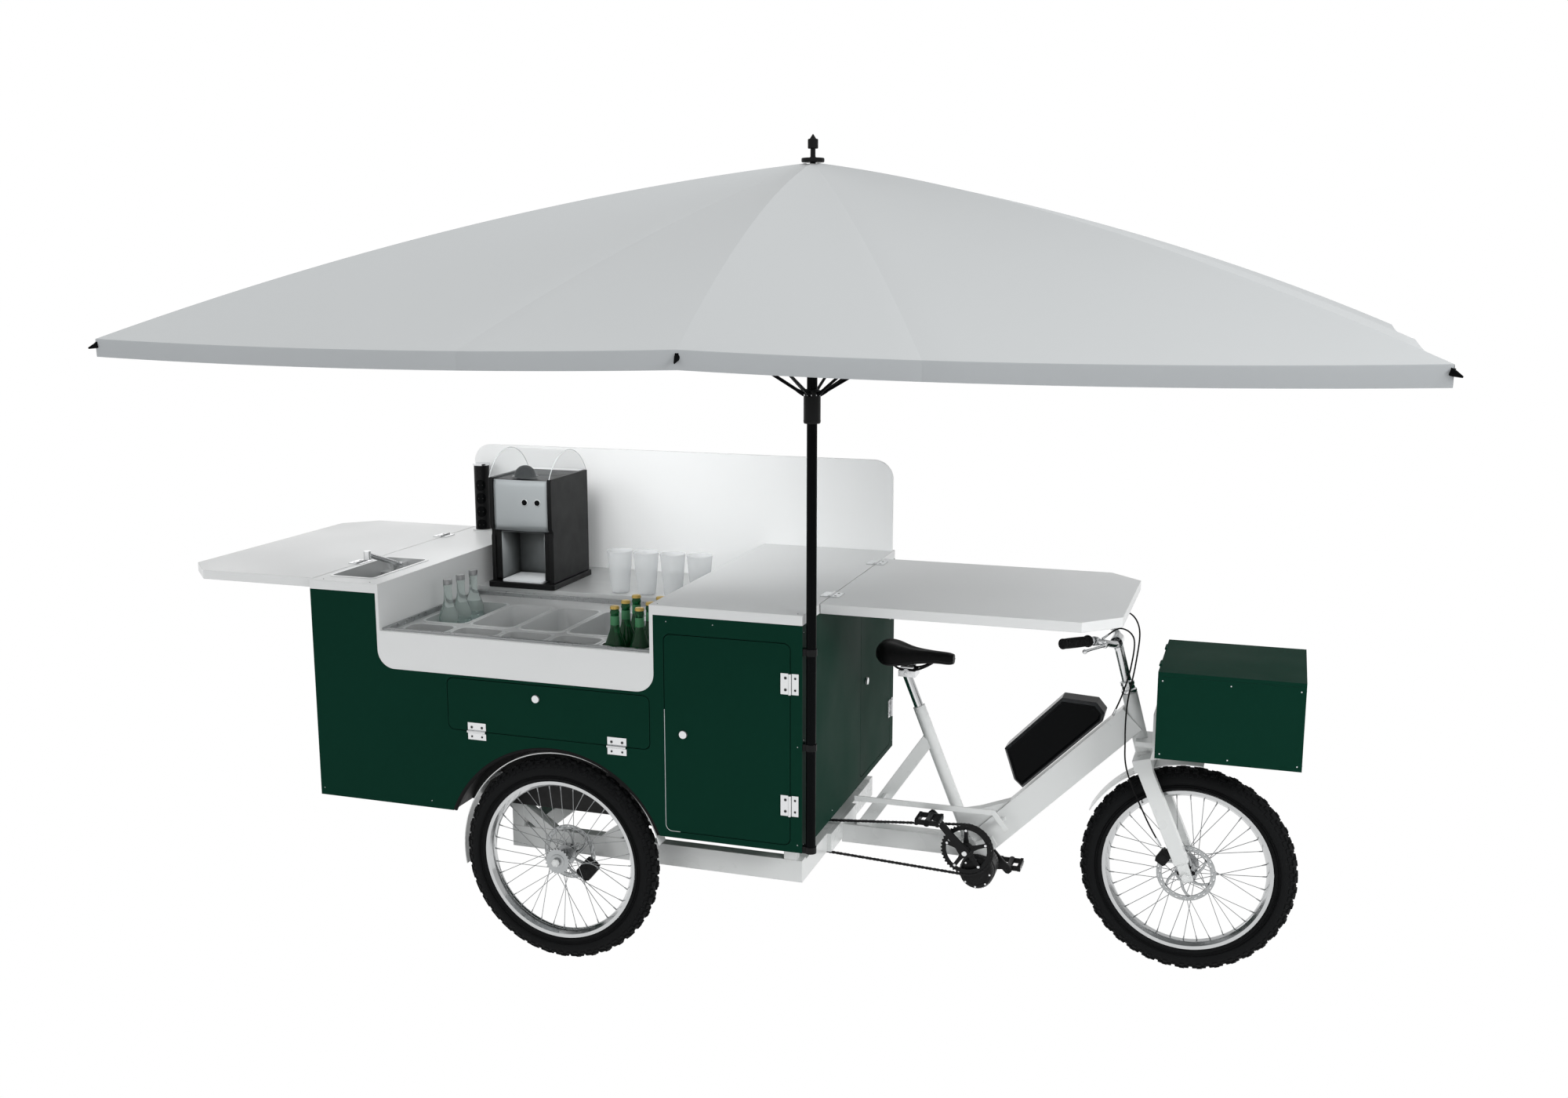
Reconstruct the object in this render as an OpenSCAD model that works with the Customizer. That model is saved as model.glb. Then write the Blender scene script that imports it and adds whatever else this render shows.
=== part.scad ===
// Three-wheeled food cart: a cycle front end, a counter cabinet over the rear axle and a parasol.
// Cart frame: x from the rear face of the cabinet forwards, y to the left, z up from the ground.

/* [Cabinet] */
// Length of the cabinet
cab_len = 1680; // [1660:5:1700]
// Width of the cabinet
cab_w = 1100; // [1090:2:1110]
// Height of the cabinet floor over the ground
cab_z = 450; // [446:1:452]
// Height of the cabinet walls
cab_h = 700; // [695:1:720]
// Thickness of the cabinet panels
panel_t = 15; // [13:1:16]
// Thickness of the counter slabs and flaps
slab_t = 30; // [24:1:34]
// Length of the rear counter slab
rear_slab_len = 248; // [244:1:252]
// Length of the front counter slab
front_slab_len = 479; // [474:1:483]
// Height of the splash-back over the counter
splash_h = 325; // [250:5:360]

/* [Doors and flaps] */
// Width of the side door
door_w = 400; // [380:2:402]
// Height of both doors
door_h = 620; // [600:2:622]
// Width of the front door
front_door_w = 400; // [360:5:405]
// Length of the drop hatch
hatch_len = 696; // [600:4:700]
// Height of the drop hatch
hatch_h = 168; // [150:1:170]
// Length of the rear flap
rear_flap_len = 535; // [450:5:560]
// Width of the rear flap
rear_flap_w = 1056; // [960:4:1080]
// Length of the front flap
front_flap_len = 886; // [800:2:890]
// Width of the front flap
front_flap_w = 758; // [700:2:780]
// Cut-off corners of the flaps
flap_chamfer = 105; // [60:5:140]

/* [Wheels] */
// Outer diameter of the tyres
tyre_d = 660; // [640:2:662]
// Width of the tyres
tyre_w = 76; // [60:1:78]
// Outer diameter of the rims
rim_d = 520; // [500:2:530]
// Distance from the rear axle to the front axle
wheelbase = 1894; // [1890:1:1900]
// Distance between the rear wheels' centre planes
track = 1066; // [1060:2:1070]
// Diameter of the brake discs
rotor_d = 180; // [160:2:184]

/* [Cycle] */
// Backward lean of the steering axis in degrees
head_lean = 15; // [14.5:0.1:15.5]
// Length of the crank arms
crank_len = 160; // [150:1:170]
// Pitch radius of the chainring
ring_r = 85; // [82:0.5:86]
// Exposed height of the front box
box_h = 253; // [200:1:280]
// Length of the front box
box_len = 416; // [380:2:430]
// Width of the front box
box_w = 416; // [360:2:440]

/* [Parasol] */
// Length of the canopy along the cart
canopy_len = 3154; // [3000:2:3200]
// Width of the canopy across the cart
canopy_w = 2016; // [1900:2:2060]
// Height of the canopy's top
crown_z = 2463; // [2440:1:2480]
// Fall of the canopy from its top to its edge
canopy_drop = 461; // [420:1:480]
// Upward bow of the canopy's ribs at their middle
canopy_bow = 55; // [40:1:65]
// Height of the hanging edge of the canopy
valance_h = 45; // [30:1:60]
// Diameter of the mast
mast_d = 30; // [28:0.5:31]

/* [Counter goods] */
// Depth of the food pans
pan_depth = 135; // [90:1:140]
// Height of the cups
cup_h = 150; // [100:1:160]
// Height of the bottles
bottle_h = 256; // [220:1:260]
// Width of the dispenser
disp_w = 244; // [220:1:250]
// Height of the dispenser's case
disp_h = 394; // [360:1:400]

/* [Hidden] */
$fn = 48;

GREEN = "#0f3026";
WHITE = "#e8e9e8";
STEEL = "#b4b7b8";
BLACK = "#151617";
GREY = "#c8ccce";

// Running clearance on a shaft, free clearance between bodies, and gap round a door
fit = 0.05;
free = 0.4;
door_gap = 2.5;
flap_gap = 3;

side_y = cab_w / 2;
in_y = side_y - panel_t;
wall_top = cab_z + cab_h;
top_z = wall_top + slab_t;
front_slab_x = cab_len - front_slab_len;

// Wheel places
wheel_z = tyre_d / 2;
rear_axle = [876, wheel_z];
front_axle = [rear_axle[0] + wheelbase, wheel_z];
arch_c = rear_axle + [-17, -25];
arch_r = 388;
wheel_box_y = 430;
rear_wheel_y = track / 2;
axle_end = rear_wheel_y + 56;

// Steering axis: its lowest point on the head tube, and its length
head_low = [2620, 700];
head_len = 187;
head_d = 48;
steerer_d = 30;

// Bottom bracket, seat tube and jackshaft
bb = [2085, 331];
seat_dir = [-0.3756, 0.9268];
seat_len = 480;
post_d = 30;
jack = [1400, 318];
jack_r = ring_r * 20 / 42;
chain_y = -70;

// Down tube: its low end, direction, length and depth, and the battery's rail on it
tube_low = [2137, 356];
tube_dir = [0.7087, 0.7055];
tube_len = 633.6;
tube_h = 87;
batt_rail_h = 12;

// Parasol mast stands in front of the cabinet's right front corner
mast_x = cab_len + 23;
mast_y = -side_y + 15;
rib_tip = 24;
tip_root = 4;
tip_end = 4;
ring_z = crown_z - 23;
ring_rad = 38;
rib_h = 14;
rib_w = 8;
rib_gap = 4.4;
sheet_t = 3;
edge_z = crown_z - canopy_drop;
hole_r = 14;

// Ends of the ribs, at the middles and the corners of the canopy's edge
half = [canopy_len / 2, canopy_w / 2];
rib_ends = [[half[0], 0], half, [0, half[1]], [-half[0], half[1]],
    [-half[0], 0], -half, [0, -half[1]], [half[0], -half[1]]];
function bearing(i) = atan2(rib_ends[i][1], rib_ends[i][0]);

// The part's origin is on the ground, at the centre of its bounding box
shift_x = (rear_flap_len + flap_gap - mast_x - canopy_len / 2 - tip_over(0)) / 2;
shift_y = (canopy_w / 2 + tip_over(6) - mast_y - axle_end) / 2;

module place() {
    translate([shift_x, shift_y, 0]) children();
}

// A round bar from p to q
module rod(p, q, d) {
    v = q - p;
    translate(p)
        rotate([0, acos(v[2] / norm(v)), atan2(v[1], v[0])])
            cylinder(h = norm(v), d = d);
}

// A box bar from p to q, which are [x, z] points, centred on y
module beam(p, q, depth, width, y = 0) {
    v = q - p;
    translate([p[0], y, p[1]])
        rotate([0, -atan2(v[1], v[0]), 0])
            translate([0, -width / 2, -depth / 2])
                cube([norm(v), width, depth]);
}

// A cylinder along y round the [x, z] point c, from y0 to y1
module drum(c, d, y0, y1) {
    translate([c[0], y1, c[1]])
        rotate([90, 0, 0])
            cylinder(h = y1 - y0, d = d);
}

// Extrudes a 2D outline in x and z from y0 to y1
module slice_y(y0, y1) {
    translate([0, y1, 0])
        rotate([90, 0, 0])
            linear_extrude(y1 - y0)
                children();
}

// Extrudes a 2D outline in y and z from x0 to x1
module slice_x(x0, x1) {
    translate([x0, 0, 0])
        rotate([90, 0, 90])
            linear_extrude(x1 - x0)
                children();
}

// A block between two corners
module block(a, b) {
    translate(a)
        cube(b - a);
}

// A rectangle with round corners, from its lower left corner
module round_rect(size, r) {
    translate([r, 0])
        square([size[0] - 2 * r, size[1]]);
    translate([0, r])
        square([size[0], size[1] - 2 * r]);
    for (x = [r, size[0] - r], y = [r, size[1] - r])
        translate([x, y])
            circle(r);
}

// A tub with round corners, open at the top, with a flange round its rim
module tub(size, depth, wall, r, rim) {
    difference() {
        union() {
            translate([0, 0, -depth])
                linear_extrude(depth)
                    round_rect(size, r);
            translate([-rim, -rim, 0])
                linear_extrude(2)
                    round_rect(size + [2 * rim, 2 * rim], r + rim);
        }
        translate([wall, wall, wall - depth])
            linear_extrude(depth + 4)
                round_rect(size - [2 * wall, 2 * wall], r - wall);
    }
}

// Doors and hatch, by their lower rear corners
door_x = cab_len - 38 - door_w;
door_z = cab_z + 22;
front_door_y = side_y - 45 - front_door_w;
hatch_x = 494;
hatch_z = cab_z + 275;
lock_d = 24;

// Hinges: two leaves and a knuckle that stands off the panel
hinge_h = 64;
hinge_w = 28;
knuckle_d = 10;
knuckle_out = 5.4;
leaf_gap = 7;
side_hinges = [door_z + 124, door_z + 500];
front_hinges = [door_z + 136, door_z + 500];
hatch_hinges = [hatch_x + 102, hatch_x + hatch_len - 108];
rear_flap_hinges = [-250, 300];
front_flap_hinges = [-250, 290];

// Pan well: the white front under the open counter, and the steel deck in it
well_x0 = rear_slab_len - 5;
well_x1 = front_slab_x + 6;
well_z = cab_z + 455;
rim_z = cab_z + 578;
lining_t = 6;
deck_z = cab_z + 570;
shelf_z = cab_z + 600;
shelf_y = 86;
pan_pitch = 176;
pan_w = 158;
pan_r = 30;
pan_rim = 8;
pan_cols = 5;
deck_x0 = (rear_slab_len + front_slab_x - pan_cols * pan_pitch) / 2;
pan_rows = [[-488, 90], [-360, 318]];
long_pan = [-488, 446];
splash_t = 12;

module arch_circle(r) {
    translate(arch_c)
        circle(r);
}

module side_outline() {
    difference() {
        translate([0, cab_z])
            square([cab_len, cab_h]);
        arch_circle(arch_r);
    }
}

module right_side() {
    slice_y(-side_y, -in_y)
        difference() {
            side_outline();
            translate([well_x0, well_z])
                round_rect([well_x1 - well_x0, cab_h], 60);
            translate([door_x - door_gap, door_z - door_gap])
                round_rect([door_w + 2 * door_gap, door_h + 2 * door_gap], 22);
            translate([hatch_x - door_gap, hatch_z - door_gap])
                round_rect([hatch_len + 2 * door_gap, hatch_h + 2 * door_gap], 22);
        }
}

module wheel_box(s) {
    inner_y = wheel_box_y - 6;
    slice_y(min(s * wheel_box_y, s * in_y), max(s * wheel_box_y, s * in_y))
        intersection() {
            difference() {
                arch_circle(arch_r + 6);
                arch_circle(arch_r);
            }
            translate([0, cab_z])
                square([cab_len, cab_h]);
        }
    slice_y(min(s * wheel_box_y, s * inner_y), max(s * wheel_box_y, s * inner_y))
        intersection() {
            arch_circle(arch_r + 6);
            translate([0, cab_z])
                square([cab_len, cab_h]);
        }
}

module cabinet() place() color(GREEN) {
    right_side();
    slice_y(in_y, side_y)
        side_outline();
    slice_x(0, panel_t)
        translate([-in_y, cab_z])
            square([2 * in_y, cab_h]);
    slice_x(cab_len - panel_t, cab_len)
        difference() {
            translate([-in_y, cab_z])
                square([2 * in_y, cab_h]);
            translate([front_door_y - door_gap, door_z - door_gap])
                round_rect([front_door_w + 2 * door_gap, door_h + 2 * door_gap], 22);
        }
    // Floor, clear of the wheel boxes
    difference() {
        block([0, -in_y, cab_z], [cab_len, in_y, cab_z + 12]);
        for (s = [-1, 1])
            translate([arch_c[0], s * (wheel_box_y + in_y), cab_z])
                cube([2 * arch_r - 54, 2 * in_y, 100], center = true);
    }
    // Walls beside the well, and the floor of the hatch compartment
    block([rear_slab_len - 12, -in_y, cab_z], [rear_slab_len, in_y, wall_top]);
    difference() {
        block([front_slab_x, -in_y, cab_z], [front_slab_x + 12, in_y, wall_top]);
        for (s = [-1, 1])
            slice_y(min(s * wheel_box_y, s * in_y), max(s * wheel_box_y, s * in_y))
                arch_circle(arch_r);
    }
    block([rear_slab_len, -in_y, hatch_z - 13], [front_slab_x, in_y, hatch_z - 5]);
    wheel_box(-1);
    wheel_box(1);
    // Fixed leaves of the hinges
    for (z = side_hinges)
        block([door_x + door_w + leaf_gap, -side_y - 3, z - hinge_h / 2],
            [door_x + door_w + hinge_w, -side_y, z + hinge_h / 2]);
    for (x = hatch_hinges)
        block([x - hinge_h / 2, -side_y - 3, hatch_z - hinge_w],
            [x + hinge_h / 2, -side_y, hatch_z - leaf_gap]);
    for (z = front_hinges)
        block([cab_len, front_door_y + front_door_w + leaf_gap, z - hinge_h / 2],
            [cab_len + 3, front_door_y + front_door_w + hinge_w, z + hinge_h / 2]);
}

// Sink in the rear slab, and the round socket of the power tower
sink_x = 30;
sink_y = -476;
sink_size = [160, 336];
sink_depth = 130;
sink_rim = 9;
tower = [70, 466];
tower_d = 58;

// Outline of a flap that runs to -x from its hinge edge at x = 0
module flap_outline(len, w) {
    c = flap_chamfer;
    polygon([[0, -w / 2], [0, w / 2], [c - len, w / 2],
        [-len, w / 2 - c], [-len, c - w / 2], [c - len, -w / 2]]);
}

module counter() place() color(WHITE) {
    difference() {
        block([0, -side_y, wall_top], [rear_slab_len + lining_t, side_y, top_z]);
        translate([sink_x, sink_y, wall_top - 1])
            linear_extrude(slab_t + 2)
                round_rect(sink_size, 14);
        translate([tower[0], tower[1], wall_top - 1])
            cylinder(h = slab_t + 2, d = tower_d + 2);
    }
    block([front_slab_x - lining_t, -side_y, wall_top], [cab_len, side_y, top_z]);
    // Linings at both ends of the well
    block([rear_slab_len, -in_y, rim_z - 60], [rear_slab_len + lining_t, in_y, wall_top]);
    block([front_slab_x - lining_t, -in_y, rim_z - 60], [front_slab_x, in_y, wall_top]);
    // White front of the well, with round lower corners and narrow uprights
    slice_y(-side_y, -in_y)
        difference() {
            intersection() {
                translate([well_x0, well_z])
                    round_rect([well_x1 - well_x0, cab_h], 60);
                translate([0, cab_z])
                    square([cab_len, cab_h]);
            }
            translate([rear_slab_len + lining_t, rim_z])
                square([front_slab_x - rear_slab_len - 2 * lining_t, cab_h]);
        }
    // Fixed leaves of the flaps' hinges
    for (y = rear_flap_hinges)
        block([5, y - 32, top_z], [sink_x - sink_rim, y + 32, top_z + 3]);
    for (y = front_flap_hinges)
        block([cab_len - 28, y - 32, top_z], [cab_len - 5, y + 32, top_z + 3]);
    // Brackets under the rear flap
    for (y = [-350, 350])
        slice_y(y - 3, y + 3)
            polygon([[0, wall_top - 3], [0, wall_top - 45], [-210, wall_top - 8], [-210, wall_top - 3]]);
}

module splash_back() place() color("#eef0ef") {
    slice_y(in_y - splash_t, in_y)
        union() {
            intersection() {
                translate([10, top_z - 200])
                    round_rect([cab_len - 14, splash_h + 200], 70);
                translate([0, top_z])
                    square([cab_len, splash_h + 10]);
            }
            translate([rear_slab_len + lining_t, shelf_z])
                square([front_slab_x - rear_slab_len - 2 * lining_t, slab_t + 130]);
        }
}

module each_pan() {
    for (i = [0 : pan_cols - 2], row = pan_rows)
        translate([deck_x0 + i * pan_pitch + (pan_pitch - pan_w) / 2, row[0], deck_z])
            pan_at([pan_w, row[1]]);
    translate([deck_x0 + (pan_cols - 1) * pan_pitch + (pan_pitch - pan_w) / 2, long_pan[0], deck_z])
        pan_at([pan_w, long_pan[1]]);
}

module pan_at(size) {
    if ($pan_hole)
        translate([-1, -1, -20])
            linear_extrude(40)
                round_rect(size + [2, 2], pan_r);
    else
        tub(size, pan_depth, 2, pan_r, pan_rim);
}

module steel_worktop() place() color(STEEL) {
    x0 = rear_slab_len + lining_t;
    x1 = front_slab_x - lining_t;
    difference() {
        block([x0, -in_y, deck_z - 8], [x1, shelf_y, deck_z]);
        each_pan($pan_hole = true);
    }
    // Raised shelf behind the pans, on a folded front
    block([x0, shelf_y, deck_z - 8], [x1, shelf_y + 3, shelf_z - 3]);
    block([x0, shelf_y, shelf_z - 3], [x1, in_y - splash_t, shelf_z]);
    block([x0, in_y - splash_t - 3, deck_z - 8], [x1, in_y - splash_t, shelf_z - 3]);
}

module food_pans() place() color("#c3c6c7") {
    each_pan($pan_hole = false);
}

tap_pivot = [sink_x + 62, sink_y + 312, top_z - 16];
tap_pin_d = 6;

module counter_fittings() place() color(STEEL) {
    translate([sink_x + 1, sink_y + 1, top_z])
        tub(sink_size - [2, 2], sink_depth, 2, 13, sink_rim);
    // Ledge in the sink with the two lugs and the pin of the tap
    block([sink_x + 1, sink_y + 285, top_z - 45], [sink_x + 159, sink_y + 335, top_z - 40]);
    for (s = [-1, 1])
        block(tap_pivot + [s * 20 - 3, -11, -25], tap_pivot + [s * 20 + 3, 11, 9]);
    rod(tap_pivot - [22, 0, 0], tap_pivot + [22, 0, 0], tap_pin_d);
    // Flange ring of the power tower
    translate([tower[0], tower[1], top_z])
        difference() {
            cylinder(h = 6, d = 80);
            translate([0, 0, -1])
                cylinder(h = 8, d = tower_d + 2);
        }
}

module tap() place() color("#c9cccd") {
    reach = [0, -190, 68];
    difference() {
        union() {
            rod(tap_pivot - [16, 0, 0], tap_pivot + [16, 0, 0], 20);
            rod(tap_pivot, tap_pivot + reach, 17);
            rod(tap_pivot + reach + [0, 0, -16], tap_pivot + reach + [0, 0, 12], 24);
        }
        rod(tap_pivot - [30, 0, 0], tap_pivot + [30, 0, 0], tap_pin_d + 2 * fit);
    }
}

module power_tower() place() color(BLACK) {
    translate([tower[0], tower[1], wall_top - 40])
        cylinder(h = slab_t + 40 + 252, d = tower_d);
    translate([tower[0], tower[1], top_z + 252])
        cylinder(h = 7, d = 66);
}

module side_door() place() color(GREEN) {
    slice_y(-side_y, -in_y)
        translate([door_x, door_z])
            round_rect([door_w, door_h], 20);
    for (z = side_hinges) {
        block([door_x + door_w - hinge_w, -side_y - 3, z - hinge_h / 2],
            [door_x + door_w + door_gap / 2, -side_y, z + hinge_h / 2]);
        translate([door_x + door_w + door_gap / 2, -side_y - knuckle_out, z - hinge_h / 2])
            cylinder(h = hinge_h, d = knuckle_d);
    }
    drum([door_x + 60, door_z + 312], lock_d, -side_y - 6, -side_y);
}

module drop_hatch() place() color(GREEN) {
    slice_y(-side_y, -in_y)
        translate([hatch_x, hatch_z])
            round_rect([hatch_len, hatch_h], 20);
    for (x = hatch_hinges) {
        block([x - hinge_h / 2, -side_y - 3, hatch_z - door_gap / 2],
            [x + hinge_h / 2, -side_y, hatch_z + hinge_w]);
        rod([x - hinge_h / 2, -side_y - knuckle_out, hatch_z - door_gap / 2],
            [x + hinge_h / 2, -side_y - knuckle_out, hatch_z - door_gap / 2], knuckle_d);
    }
    drum([hatch_x + 313, hatch_z + 126], lock_d, -side_y - 6, -side_y);
}

module front_door() place() color(GREEN) {
    slice_x(cab_len - panel_t, cab_len)
        translate([front_door_y, door_z])
            round_rect([front_door_w, door_h], 20);
    for (z = front_hinges) {
        block([cab_len, front_door_y + front_door_w - hinge_w, z - hinge_h / 2],
            [cab_len + 3, front_door_y + front_door_w + door_gap / 2, z + hinge_h / 2]);
        translate([cab_len + knuckle_out, front_door_y + front_door_w + door_gap / 2, z - hinge_h / 2])
            cylinder(h = hinge_h, d = knuckle_d);
    }
    translate([cab_len, front_door_y + 70, door_z + 322])
        rotate([0, 90, 0])
            cylinder(h = 6, d = lock_d);
}

// Hinges on top of a flap: the leaf on the flap and the knuckle over its edge
module flap_hinges(y_list) {
    for (y = y_list) {
        block([-30, y - 32, 0], [0, y + 32, 3]);
        rod([1, y - 32, 4], [1, y + 32, 4], 7);
    }
}

module rear_flap() place() color(WHITE) {
    translate([-flap_gap, 0, wall_top])
        linear_extrude(slab_t)
            flap_outline(rear_flap_len, rear_flap_w);
    translate([-flap_gap, 0, top_z])
        flap_hinges(rear_flap_hinges);
}

module front_flap() place() color(WHITE) {
    translate([cab_len + flap_gap, 0, wall_top])
        linear_extrude(slab_t)
            mirror([1, 0])
                flap_outline(front_flap_len, front_flap_w);
    translate([cab_len + flap_gap, 0, top_z])
        mirror([1, 0, 0])
            flap_hinges(front_flap_hinges);
}

// Dispenser on the shelf
disp = [308, 88, shelf_z + 20];
disp_depth = 300;
bay = [166, 180];
hood_rise = 90;

module dispenser() place() color(BLACK) {
    difference() {
        block(disp, disp + [disp_w, disp_depth, disp_h - 20]);
        // Dispensing bay, and the set-back front over it
        block(disp + [(disp_w - bay[0]) / 2, -1, 8], disp + [(disp_w + bay[0]) / 2, 150, bay[1]]);
        block(disp + [-1, -1, -1], disp + [disp_w + 1, 14, bay[1] - 2]);
        for (x = [142, 190])
            translate(disp + [x, -1, 290])
                rotate([-90, 0, 0])
                    cylinder(h = 13, d = 20 + 2 * free);
    }
    block(disp - [8, 10, 20], disp + [disp_w + 8, disp_depth, 0]);
    // Dome on the top
    translate(disp + [115, 62, disp_h - 20])
        intersection() {
            sphere(d = 76);
            cylinder(h = 60, d = 90);
        }
}

module dispenser_hood() place() color("#dfe5e8", 0.5) {
    r = (disp_depth * disp_depth / 4 + hood_rise * hood_rise) / (2 * hood_rise);
    base = disp[2] + disp_h - 20 + free;
    slice_x(disp[0] + 3, disp[0] + disp_w - 3)
        hood_profile(r, r - 3, base);
    for (x = [disp[0] + 3, disp[0] + disp_w - 6])
        slice_x(x, x + 3)
            hood_profile(r, 0, base);
    // Hinge pin along the back edge
    pin = [disp[1] + disp_depth, base + 1.6];
    rod([disp[0] + 3, pin[0], pin[1]], [disp[0] + disp_w - 3, pin[0], pin[1]], 3);
}

module hood_profile(r, hollow, base) {
    intersection() {
        translate([disp[1] + disp_depth / 2, base + hood_rise - r])
            difference() {
                circle(r);
                if (hollow > 0)
                    circle(hollow);
            }
        translate([disp[1], base])
            square([disp_depth, hood_rise + 1]);
    }
}

module button(x) {
    translate(disp + [x, -3, 290])
        rotate([-90, 0, 0])
            cylinder(h = 9, d = 20);
}

module button_left() place() color(BLACK) button(142);

module button_right() place() color(BLACK) button(190);

module cup() {
    rotate_extrude()
        polygon([[0, 0], [31, 0], [45, cup_h], [43.4, cup_h], [29.6, 2], [0, 2]]);
}

module bottle() {
    h = bottle_h;
    rotate_extrude()
        polygon([[0, 0], [33, 0], [33, h - 125], [29, h - 105], [15, h - 75], [13, h - 20],
            [14.5, h - 18], [14.5, h], [0, h]]);
}

module counter_goods() place() color("#0f4a2c") {
    z = deck_z - pan_depth + 2;
    for (i = [0 : 3])
        translate([790 + i * 100, 140, shelf_z])
            cup();
    for (i = [0 : 2])
        translate([deck_x0 + 47, -252 + i * 85, z])
            bottle();
    for (i = [0, 1], j = [0 : 2])
        translate([deck_x0 + (pan_cols - 1) * pan_pitch + 46 + i * 84, -445 + j * 84, z])
            bottle();
}

// Chassis under the cabinet
rail_y = 400;
rail_w = 40;
rail_z = [300, 370];
rail_x = 640;
spine_z = [300, 352];

module chassis() place() color(WHITE) {
    difference() {
        union() {
            for (s = [-1, 1]) {
                block([rail_x, s * rail_y - rail_w / 2, rail_z[0]],
                    [1640, s * rail_y + rail_w / 2, rail_z[1]]);
                for (x = [rail_x + 20, 1600])
                    block([x - 20, s * rail_y - 18, rail_z[1]], [x + 20, s * rail_y + 18, cab_z]);
                for (d = [-1, 1])
                    intersection() {
                        beam(rear_axle + [d * 60, 0], rear_axle + [d * 260, 140], 40, 34, s * rail_y);
                        block([0, s * rail_y - 20, rail_z[1] - 5], [cab_len, s * rail_y + 20, cab_z]);
                    }
                // Stub axle with its nut
                drum(rear_axle, 16, min(s * rail_y, s * axle_end), max(s * rail_y, s * axle_end));
                translate([rear_axle[0], s * (axle_end - 5), rear_axle[1]])
                    rotate([90, 0, 0])
                        cylinder(h = 8, d = 26, center = true, $fn = 6);
            }
            for (x = [rail_x, 1590])
                block([x, -rail_y, rail_z[0]], [x + 50, rail_y, 362]);
            block([rail_x + 20, -25, spine_z[0]], [1640, 25, spine_z[1]]);
        }
        drum(jack, 16 + 2 * fit, -40, 40);
    }
    rear_fenders();
}

// A thin guard over a wheel, from angle a0 to a1 round the axle c
module guard_arc(c, r, a0, a1, w, y) {
    translate([c[0], y, c[1]])
        rotate([90, 0, 0])
            rotate([0, 0, a0])
                rotate_extrude(angle = a1 - a0, $fn = 96)
                    translate([r, -w / 2])
                        square([3, w]);
}

fender_r = tyre_d / 2 + 15;
rear_fender_w = 50;
rear_fender_y = rear_wheel_y - 18;

module rear_fenders() {
    for (s = [-1, 1]) {
        guard_arc(rear_axle, fender_r, 14, 190, rear_fender_w, s * rear_fender_y);
        for (a = [60, 140]) {
            p = rear_axle + (fender_r + 1.5) * [cos(a), sin(a)];
            rod([p[0], s * wheel_box_y, p[1]], [p[0], s * rear_fender_y, p[1]], 8);
        }
    }
}

// A brake caliper straddling the disc's edge at y, seen along the axle
module caliper(c, a, y, w) {
    p = c + (rotor_d / 2 - 8) * [cos(a), sin(a)];
    difference() {
        translate([p[0], y, p[1]])
            rotate([0, -a, 0])
                cube([40, w, 56], center = true);
        drum(c, rotor_d + 12, y - 3, y + 3);
    }
}

rotor_in = 54;

module rear_calipers() place() color(BLACK) {
    a = -40;
    p = rear_axle + (rotor_d / 2 - 8) * [cos(a), sin(a)];
    y = rear_wheel_y - rotor_in;
    for (s = [0, 1])
        mirror([0, s, 0]) {
            caliper(rear_axle, a, y, 36);
            // Arm in to the chassis rail
            block([p[0] - 14, rail_y + rail_w / 2, p[1] - 2], [p[0] + 14, y - 6, p[1] + 18]);
        }
}

module jackshaft() place() color("#3a3c3d") {
    drum(jack, 16, chain_y - 8, 60);
    drum(jack, 2 * jack_r - 10, chain_y - 2, chain_y + 2);
    drum(jack, 30, chain_y + 4, -26);
    drum(jack, 30, 26, 34);
}

function head_at(t) = head_low + t * [-sin(head_lean), cos(head_lean)];

module bike_frame() place() color(WHITE) {
    difference() {
        union() {
            rod3(head_at(0), head_at(head_len), head_d);
            rod3(bb, bb + seat_len * seat_dir, 40);
            beam(tube_low, tube_low + tube_len * tube_dir, tube_h, 56);
            drum(bb, 52, -36, 36);
            block([1655, -25, 290], [2066, 25, 352]);
            beam([1718, 340], [1940, 668], 42, 36);
            // Gusset between the seat tube and the down tube
            slice_y(-20, 20)
                polygon([[2042, 436], [2112, 454], [2225, 497], [2250, 450], [2140, 345], [2096, 338]]);
            // Motor plate under the bottom bracket
            slice_y(-30, 30)
                polygon([[2072, 330], [2160, 372], [2176, 344], [2150, 300], [2078, 305]]);
            // Plate that joins the frame to the chassis
            block([1640, -150, 300], [1655, 150, 362]);
            // Carrier of the front box
            block([2600, -60, 727], [2668, 60, box_z]);
            for (s = [-1, 1])
                block([2660, s * 70 - 20, 727], [3010, s * 70 + 20, box_z]);
            block([2654, -90, box_z - 16], [2664, 90, box_z + 100]);
            chain_guard();
        }
        // Bores of the head tube, the seat tube and the bottom bracket
        rod3(head_at(-60), head_at(head_len + 60), steerer_d + 2 * fit);
        rod3(bb + 110 * seat_dir, bb + (seat_len + 60) * seat_dir, post_d + 2 * fit);
        drum(bb, 20 + 2 * fit, -60, 60);
    }
}

module rod3(p, q, d) {
    rod([p[0], 0, p[1]], [q[0], 0, q[1]], d);
}

guard_y = -82;

module chain_guard() {
    slice_y(guard_y - 2, guard_y + 2)
        polygon([[1712, 459], [2168, 461], [2208, 409], [2222, 420], [2176, 479], [1712, 477]]);
    block([1794, guard_y, 462], [1806, -10, 472]);
    block([2188, guard_y, 430], [2200, -20, 440]);
}

// Chain: the two straight runs and the two wraps of its loop
chain_h = 9;

module chain_wrap(c, r, a0, a1) {
    translate([c[0], chain_y, c[1]])
        rotate([90, 0, 0])
            rotate([0, 0, a0])
                rotate_extrude(angle = a1 - a0)
                    translate([r - chain_h / 2, -4])
                        square([chain_h, 8]);
}

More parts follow.
